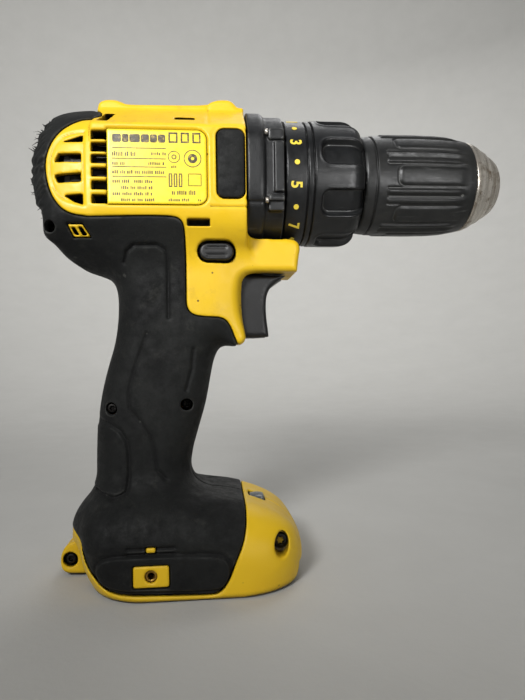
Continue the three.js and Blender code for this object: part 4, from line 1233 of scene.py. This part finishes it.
def screw(name):
    """A domed head with a six-lobed socket, facing the right side, and a plain shank."""
    low, high = node_box(name)
    point = SCREW_POINTS[name]
    radius = SCREWS[name]["r"]
    face = low.y + SCREWS[name]["sunk"]
    tip = max(high.y, face + 6) - face
    turns = 72
    rings = 22
    angle = np.arange(turns) * 2 * np.pi / turns
    socket = radius * (0.44 + 0.08 * np.cos(6 * angle))
    loops = []
    for r in np.linspace(0, radius, rings):
        sunk = 1.3 * (1 - step_between(r, socket - 0.12, socket + 0.12))
        dome = 0.35 * (r / radius) ** 2 + 0.5 * step_between(r, radius * 0.82, radius)
        loops.append((r, dome + sunk))
    loops += [(radius, 2.3), (radius * 0.5, 2.4), (radius * 0.5, tip - 1.2), (0.3, tip)]
    points = []
    for r, depth in loops:
        depths = np.broadcast_to(depth, turns)
        points += [
            (point.x + r * math.cos(a), face + d, point.z + r * math.sin(a)) for a, d in zip(angle, depths)
        ]
    finish = DARK_STEEL if name == "rear_screw" else BLACK_STEEL
    head = new_mesh(f"{name}_head", points, ring_faces(len(loops), turns, first_cap=False), finish)
    tidy_normals(head)
    return hand_in(head, "housing", "dark_steel", name)


for screw_name in SCREWS:
    screw(screw_name)


# ------------------------------------------------------------------ trigger and controls


def trigger():
    """The trigger lever, dished for the finger and hollow at its back."""
    step = 0.35
    bottom = trigger_low.z - 0.9
    g = Grid((trigger_low.x - 1, -10, bottom - 1), (8, 10, trigger_high.z + 1), step)
    outline = smooth([
        *sharp((trigger_low.x, -38.3), (5.2, -38.4)), (1.6, -40.6), (-1.9, -43.2), (-3.8, -46.4),
        (-4.3, -51), (-4, -56.6), (-3.4, -61), *sharp((-3.2, bottom), (trigger_low.x, bottom)),
    ])
    side = from_side(outline, g)
    lever = prism(side, g.w, 8.6, 2.2)
    dish = step_between(g.x, -9, -3) * (1 - np.clip(np.abs(g.w) / 8.6, 0, 1) ** 2) * 0.6
    room = np.maximum(rectangle(g.x, g.z, (-40, -9), (-61.4, -39.8), 0.5), np.abs(g.w) - 6.4)
    piece = field_piece("trigger_lever", without(lever + dish, room, 0.3), g, 0, TRIGGER_BLACK)
    return hand_in(piece, "trigger", "black_plastic", "trigger")


def direction_button():
    """The long button through both sides, with two valleys in each end."""
    low, high = button_low, button_high
    g = Grid.around(low, high, 0.32)
    pill = pill_distance(g, low, high) + 0.1
    body = prism(pill, g.w, high.y, 1.0)
    middle = (low.z + high.z) / 2
    for offset in (-1.5, 1.5):
        valley = np.hypot(np.maximum(np.abs(g.x - (low.x + high.x) / 2) - 3.4, 0), g.z - middle - offset)
        body = body + groove(valley, 1.3, 0.35) * step_between(np.abs(g.w), high.y - 2, high.y - 0.6)
    piece = field_piece("direction_bar", body, g, 0, TRIGGER_BLACK)
    return hand_in(piece, "direction", "black_plastic", "direction_button")


def speed_slider():
    """The ribbed slider between the top rails."""
    low, high = slider_low, slider_high
    g = Grid.around(low, high, 0.32)
    cap = prism(rectangle(g.x, g.z, (low.x, high.x), (low.z, high.z - 0.8), 0.9), g.w, high.y, 1.2)
    for x in (-46, -43.6, -38.4, -36):
        rib = np.hypot(g.x - x, g.z - (high.z - 1.1)) - 1.0
        cap = union(cap, np.maximum(rib, np.abs(g.w) - 5.5), 0.4)
    piece = field_piece("speed_cap", cap, g, 0, TRIGGER_BLACK)
    return hand_in(piece, "speed", "black_plastic", "speed_slider")


def side_pad(side, word):
    """The black rubber pad set in the barrel's side."""
    step = 0.35
    low = (pad_low.x - 1.5, 24.4, pad_low.z - 1.5)
    g = Grid(low, (pad_high.x + 1.5, 28.6, pad_high.z + 1.5), step)
    outline = pad_outline(g)
    crown = 0.45 * np.clip(-outline / 4, 0, 1) ** 0.5
    middle = BARREL_HALF_WIDTH - 0.55
    pad = prism(outline, g.w - middle, 0.75, 0.5) - crown * (g.w > middle)
    piece = field_piece(f"rubber_pad_{word}", pad, g, side, RUBBER_BLACK)
    return hand_in(piece, "housing", "overmould", f"side_pad_{word}")


LABEL_FACE = BARREL_HALF_WIDTH - 0.05
PRINT_ROWS = [             # left, right, top and bottom of each row of ticks
    (1.9, 11.2, 3.5, 1.8), (15.8, 21, 3.4, 2.2), (1.9, 6.8, -0.2, -1.5), (14.6, 20.8, -0.1, -1.3),
    (1.9, 20.8, -3.3, -4.6), (1.9, 8.5, -6.7, -7.9), (9.5, 16.6, -6.7, -7.9), (4.9, 16.6, -9, -10.2),
    (1.9, 16.2, -11.2, -12.4), (4.9, 16.9, -13.4, -14.5), (22.9, 25.2, -1.4, -2.3),
    (23, 31.6, -10.3, -12), (21.8, 29.8, -13.4, -14.4), (32.4, 33.7, -13.5, -14.3),
]


def rating_label(side, word):
    """The label film, with round front corners."""
    step = 0.4
    low = (label_low.x - 1.5, 25, label_low.z - 1.5)
    g = Grid(low, (label_high.x + 1.5, 28, label_high.z + 1.5), step)
    film = prism(label_outline(g), g.w - (LABEL_FACE - 0.5), 0.5, 0.2)
    piece = field_piece(f"label_{word}", film, g, side, LABEL)
    return hand_in(piece, "housing", "label", f"rating_plate_{word}")


def block_print(left, right, low, high, corner=0.15):
    """Outline of a printed block, with clipped corners."""
    return [
        (left + corner, low), (right - corner, low), (right, low + corner), (right, high - corner),
        (right - corner, high), (left + corner, high), (left, high - corner), (left, low + corner),
    ]


def frame_print(left, right, low, high, line):
    """Four blocks round an open rectangle."""
    return [
        block_print(left, right, high - line, high), block_print(left, right, low, low + line),
        block_print(left, left + line, low + line, high - line),
        block_print(right - line, right, low + line, high - line),
    ]


def ring_print(x, z, outer, inner, sectors=24):
    """A printed ring, as wedges."""
    shapes = []
    for k in range(sectors):
        a, b = 2 * math.pi * k / sectors, 2 * math.pi * (k + 1) / sectors
        corners = ((inner, a), (outer, a), (outer, b), (inner, b))
        shapes.append([(x + r * math.cos(t), z + r * math.sin(t)) for r, t in corners])
    return shapes


def row_print(left, right, low, high, dice):
    """A row of small upright ticks in groups, where small print would be."""
    shapes = []
    x = left
    while x < right - 0.4:
        for _ in range(dice.integers(2, 8)):
            wide = dice.uniform(0.28, 0.5)
            if x + wide > right:
                break
            shapes.append(block_print(x, x + wide, low, high - dice.uniform(0, 0.3) * (high - low), 0.05))
            x += wide + 0.3
        x += 0.55
    return shapes


def label_shapes():
    """Blank rules, bars, frames and rings, from the label's rear edge and the chuck axis' height."""
    dice = np.random.default_rng(3)
    shapes = []
    x = 2.0
    for wide in (3.1, 2.3, 3.7, 2.9, 2.5, 2.6):
        shapes.append(block_print(x, x + wide, 6.8, 9.7, 0.4))
        x += wide + 0.35
    for z in (4.7, 0.9, -2.1, -5.6):
        shapes.append(block_print(1.9, 21.1, z - 0.14, z + 0.14, 0.05))
    for left, right, top, low in PRINT_ROWS:
        shapes += row_print(left, right, low, top, dice)
    for left, right in ((22, 25.3), (26.4, 29.4), (30.6, 33.6)):
        shapes += frame_print(left, right, 6.8, 10.6, 0.6)
    shapes += frame_print(28.9, 33.7, -8.8, -4.3, 0.22)
    for left in (21.9, 23.7, 25.5):
        shapes += frame_print(left, left + 1.3, -9.2, -4.3, 0.4)
    shapes += ring_print(23.9, 1.7, 2.2, 1.95) + ring_print(23.9, 1.7, 0.9, 0.55)
    shapes += ring_print(30.6, 1.2, 3.2, 2.9, 32) + ring_print(30.6, 1.2, 1.7, 0.6)
    return shapes


def label_print(side, word):
    """The label's print as thin ink, which starts at the reader's left on each side."""
    points = []
    faces = []
    for shape in label_shapes():
        base = len(points)
        for w in (LABEL_FACE - 0.1, LABEL_FACE + 0.06):
            for x, z in shape:
                along = label_low.x + x if side < 0 else label_high.x - x
                points.append((along, side * w, z))
        faces += ring_faces(2, len(shape), base)
    piece = new_mesh(f"label_print_{word}", points, faces, LABEL_INK)
    tidy_normals(piece)
    piece.data.shade_flat()
    return hand_in(piece, "housing", "label")


def lamp_lens():
    """The domed window of the work light, level with the top of the foot."""
    bottom, top = lens_low.z - LENS_DROP, lens_high.z - LENS_DROP
    step = 0.25
    g = Grid.around((lens_low.x, -5, bottom), (lens_high.x, 5, top + 1.5), step)
    outline = rectangle(g.x, g.w, (lens_low.x, lens_high.x), (lens_low.y, lens_high.y), 1.2)
    dome = g.z - top - 0.9 + 0.05 * (g.w ** 2 + (g.x - (lens_low.x + lens_high.x) / 2) ** 2)
    piece = field_piece("lamp_lens", both(both(outline, dome, 0.6), bottom - g.z, 0.3), g, 0, LENS)
    return hand_in(piece, "housing", "clear_lens", "led_lens")


def lamp_board():
    """The little circuit board under the lens, with the lamp on it."""
    low, high = node_box("led_board")
    bottom, top = low.z - LENS_DROP, high.z - LENS_DROP
    g = Grid.around((low.x, low.y, bottom), (high.x, high.y, top + 1), 0.2)
    plate = rectangle(g.x, g.w, (low.x, high.x), (low.y, high.y), 0.8)
    plate = both(plate, np.maximum(bottom - g.z, g.z - top), 0.2)
    lamp = rectangle(g.x - (low.x + high.x) / 2, g.w, (-1.3, 1.3), (-1.3, 1.3), 0.3)
    lamp = both(lamp, np.maximum(bottom - g.z, g.z - top - 0.8), 0.2)
    piece = field_piece("lamp_board", union(plate, lamp, 0.1), g, 0, GREEN_BOARD)
    return hand_in(piece, "housing", "circuit_board", "led_board")


def hook_insert(side, word):
    """The threaded insert for a belt hook, deep in its round hole."""
    middle = (nut_low + nut_high) / 2
    face, foot = -nut_low.y - 0.5, -nut_high.y
    threads = [(1.05 if k % 2 else 1.25, foot + (face - 0.4 - foot) * k / 9) for k in range(10)]
    loops = [*threads, (1.45, face), (2.0, face), (2.15, face - 0.3), (2.15, foot)]
    turns = 48
    points = [
        (middle.x + r * math.cos(a), side * w, middle.z + r * math.sin(a))
        for r, w in loops for a in np.arange(turns) * 2 * math.pi / turns
    ]
    count = len(loops)
    faces = [
        (i * turns + j, i * turns + (j + 1) % turns,
         (i + 1) % count * turns + (j + 1) % turns, (i + 1) % count * turns + j)
        for i in range(count) for j in range(turns)
    ]
    piece = new_mesh(f"hook_insert_{word}", points, faces, BRASS)
    tidy_normals(piece)
    return hand_in(piece, "housing", "brass", f"belt_hook_nut_{word}")


trigger()
direction_button()
speed_slider()
for one_side, side_word in SIDES:
    side_pad(one_side, side_word)
    rating_label(one_side, side_word)
    label_print(one_side, side_word)
    hook_insert(one_side, side_word)
lamp_lens()
lamp_board()


# ------------------------------------------------------------------ springs and other CAD nodes

CAD_SLOTS = {part["node"]: part["material_slot"] for part in frame["record"]["subparts"]}


def coil_spring(node, turns, wire):
    """A round wire spring round the X axis, which fills its CAD node's box."""
    low, high = node_box(node)
    middle = (low + high) / 2
    radius = (high.y - low.y) / 2 - wire
    steps = round(turns * 28)
    sides = 8
    points = []
    for t in np.linspace(0, 1, steps + 1):
        x = low.x + wire + (high.x - low.x - 2 * wire) * t
        a = 2 * math.pi * turns * t
        for b in np.arange(sides) * 2 * math.pi / sides:
            r = radius + wire * math.cos(b)
            points.append((x + wire * math.sin(b), r * math.sin(a), middle.z + r * math.cos(a)))
    piece = new_mesh(f"{node}_coil", points, ring_faces(steps + 1, sides), DARK_STEEL)
    tidy_normals(piece)
    hand_in(piece, "housing", CAD_SLOTS[node], node)
    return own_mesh(piece)


coil_spring("clutch_spring", 3.5, 0.9)
coil_spring("trigger_spring", 4.5, 0.5)


CAD_FINISHES = {
    "steel": STEEL, "dark_steel": DARK_STEEL, "brass": BRASS, "copper": COPPER, "carbon": CARBON,
    "black_plastic": CASE_BLACK, "grey_plastic": GREY_PLASTIC, "circuit_board": GREEN_BOARD,
    "clear_lens": LENS, "label": LABEL, "overmould": RUBBER_BLACK, "yellow_housing": YELLOW,
}
# painted shade: the motor can and end cap inside the housing get dark finishes
MOTOR_PAINTED_SHADE = {"motor_can": BLACK_STEEL, "motor_end_cap": CARBON}


def finish_cad_nodes():
    """Gives each CAD node the finish of its material slot, and the motor dark finishes as painted shade
    inside the housing.
    """
    for name, slot in CAD_SLOTS.items():
        materials = frame["nodes"][name].data.materials
        materials.clear()
        materials.append(MOTOR_PAINTED_SHADE.get(name, CAD_FINISHES[slot]))


finish_cad_nodes()


# ------------------------------------------------------------------ floor, light and camera


def studio():
    """A pale floor that curves up into a round wall, in metres."""
    flat = 0.5
    wall = 1.9
    top = 2.6
    profile = [(0.0, 0.0), (0.25, 0.0), (flat, 0.0)]
    profile += [
        (flat + (wall - flat) * math.sin(t), (wall - flat) * (1 - math.cos(t)))
        for t in np.linspace(0.05, math.pi / 2, 24)
    ]
    profile.append((wall, top))
    turns = 96
    points = [(0.0, 0.0, 0.0)]
    points += [
        (r * math.cos(2 * math.pi * j / turns), r * math.sin(2 * math.pi * j / turns), z)
        for r, z in profile[1:] for j in range(turns)
    ]
    faces = [(0, 1 + j, 1 + (j + 1) % turns) for j in range(turns)]
    for i in range(len(profile) - 2):
        a, b = 1 + i * turns, 1 + (i + 1) * turns
        faces += [(a + j, b + j, b + (j + 1) % turns, a + (j + 1) % turns) for j in range(turns)]
    mesh = bpy.data.meshes.new("studio_floor")
    mesh.from_pydata(points, [], faces)
    mesh.shade_smooth()
    mesh.materials.append(pale_floor())
    floor = bpy.data.objects.new("studio_floor", mesh)
    bpy.context.scene.collection.objects.link(floor)
    floor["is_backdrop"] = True


def softbox(name, place, target, size, watts, spread=180):
    """A round soft light at a place, in metres, that looks at a target."""
    light = bpy.data.lights.new(name, "AREA")
    light.shape = "DISK"
    light.size = size
    light.energy = watts
    light.spread = math.radians(spread)
    lamp = bpy.data.objects.new(name, light)
    lamp.location = place
    lamp.rotation_euler = (Vector(target) - Vector(place)).to_track_quat("-Z", "Y").to_euler()
    lamp.visible_camera = False
    bpy.context.scene.collection.objects.link(lamp)


CAMERA_AT = Vector((-24.85, -221.5, -68.9))    # millimetres from the chuck axis
CAMERA_LOOK = Vector((0.0872, 0.9962, 0.0))
CAMERA_UP = Vector((0.0144, -0.0013, 0.9999))


def camera():
    """The camera at the photo's viewing angle."""
    data = bpy.data.cameras.new("camera")
    data.sensor_fit = "VERTICAL"
    data.sensor_height = 36
    data.lens = 27.26
    data.clip_start = 0.01
    data.clip_end = 20
    holder = bpy.data.objects.new("camera", data)
    look = CAMERA_LOOK.normalized()
    right = look.cross(CAMERA_UP).normalized()
    up = right.cross(look)
    turn = Matrix((right, up, -look)).transposed()
    place = (CAMERA_AT + Vector((0, 0, AXIS_HEIGHT))) * MM
    holder.matrix_world = Matrix.Translation(place) @ turn.to_4x4()
    bpy.context.scene.collection.objects.link(holder)
    bpy.context.scene.camera = holder


def world():
    """A weak, slightly blue light from everywhere."""
    background = bpy.data.worlds.new("studio_world")
    background.use_nodes = True
    shader = background.node_tree.nodes["Background"]
    shader.inputs["Color"].default_value = (0.9, 0.93, 1.0, 1)
    shader.inputs["Strength"].default_value = 0.13
    bpy.context.scene.world = background


studio()
MIDDLE = (0, 0, 0.1)       # metres
softbox("key", (-0.2, -0.36, 0.31), (-0.02, 0, 0.18), size=0.12, watts=0.38, spread=74)
softbox("streak", (0.2, -0.42, 0.14), (0.04, 0, 0.17), size=0.1, watts=0.09, spread=60)
softbox("backdrop", (0.0, 0.5, 1.3), (0.0, 1.9, 0.7), size=0.8, watts=14)
softbox("top", (0.1, 0.2, 1.5), MIDDLE, size=0.9, watts=1.0)
softbox("back", (0.5, 1.1, 1.7), MIDDLE, size=0.9, watts=6)
world()
camera()
bpy.context.scene.view_settings.view_transform = "Standard"

for box in (cad_box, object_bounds()):
    json.dumps([list(corner) for corner in box]) + "\n"
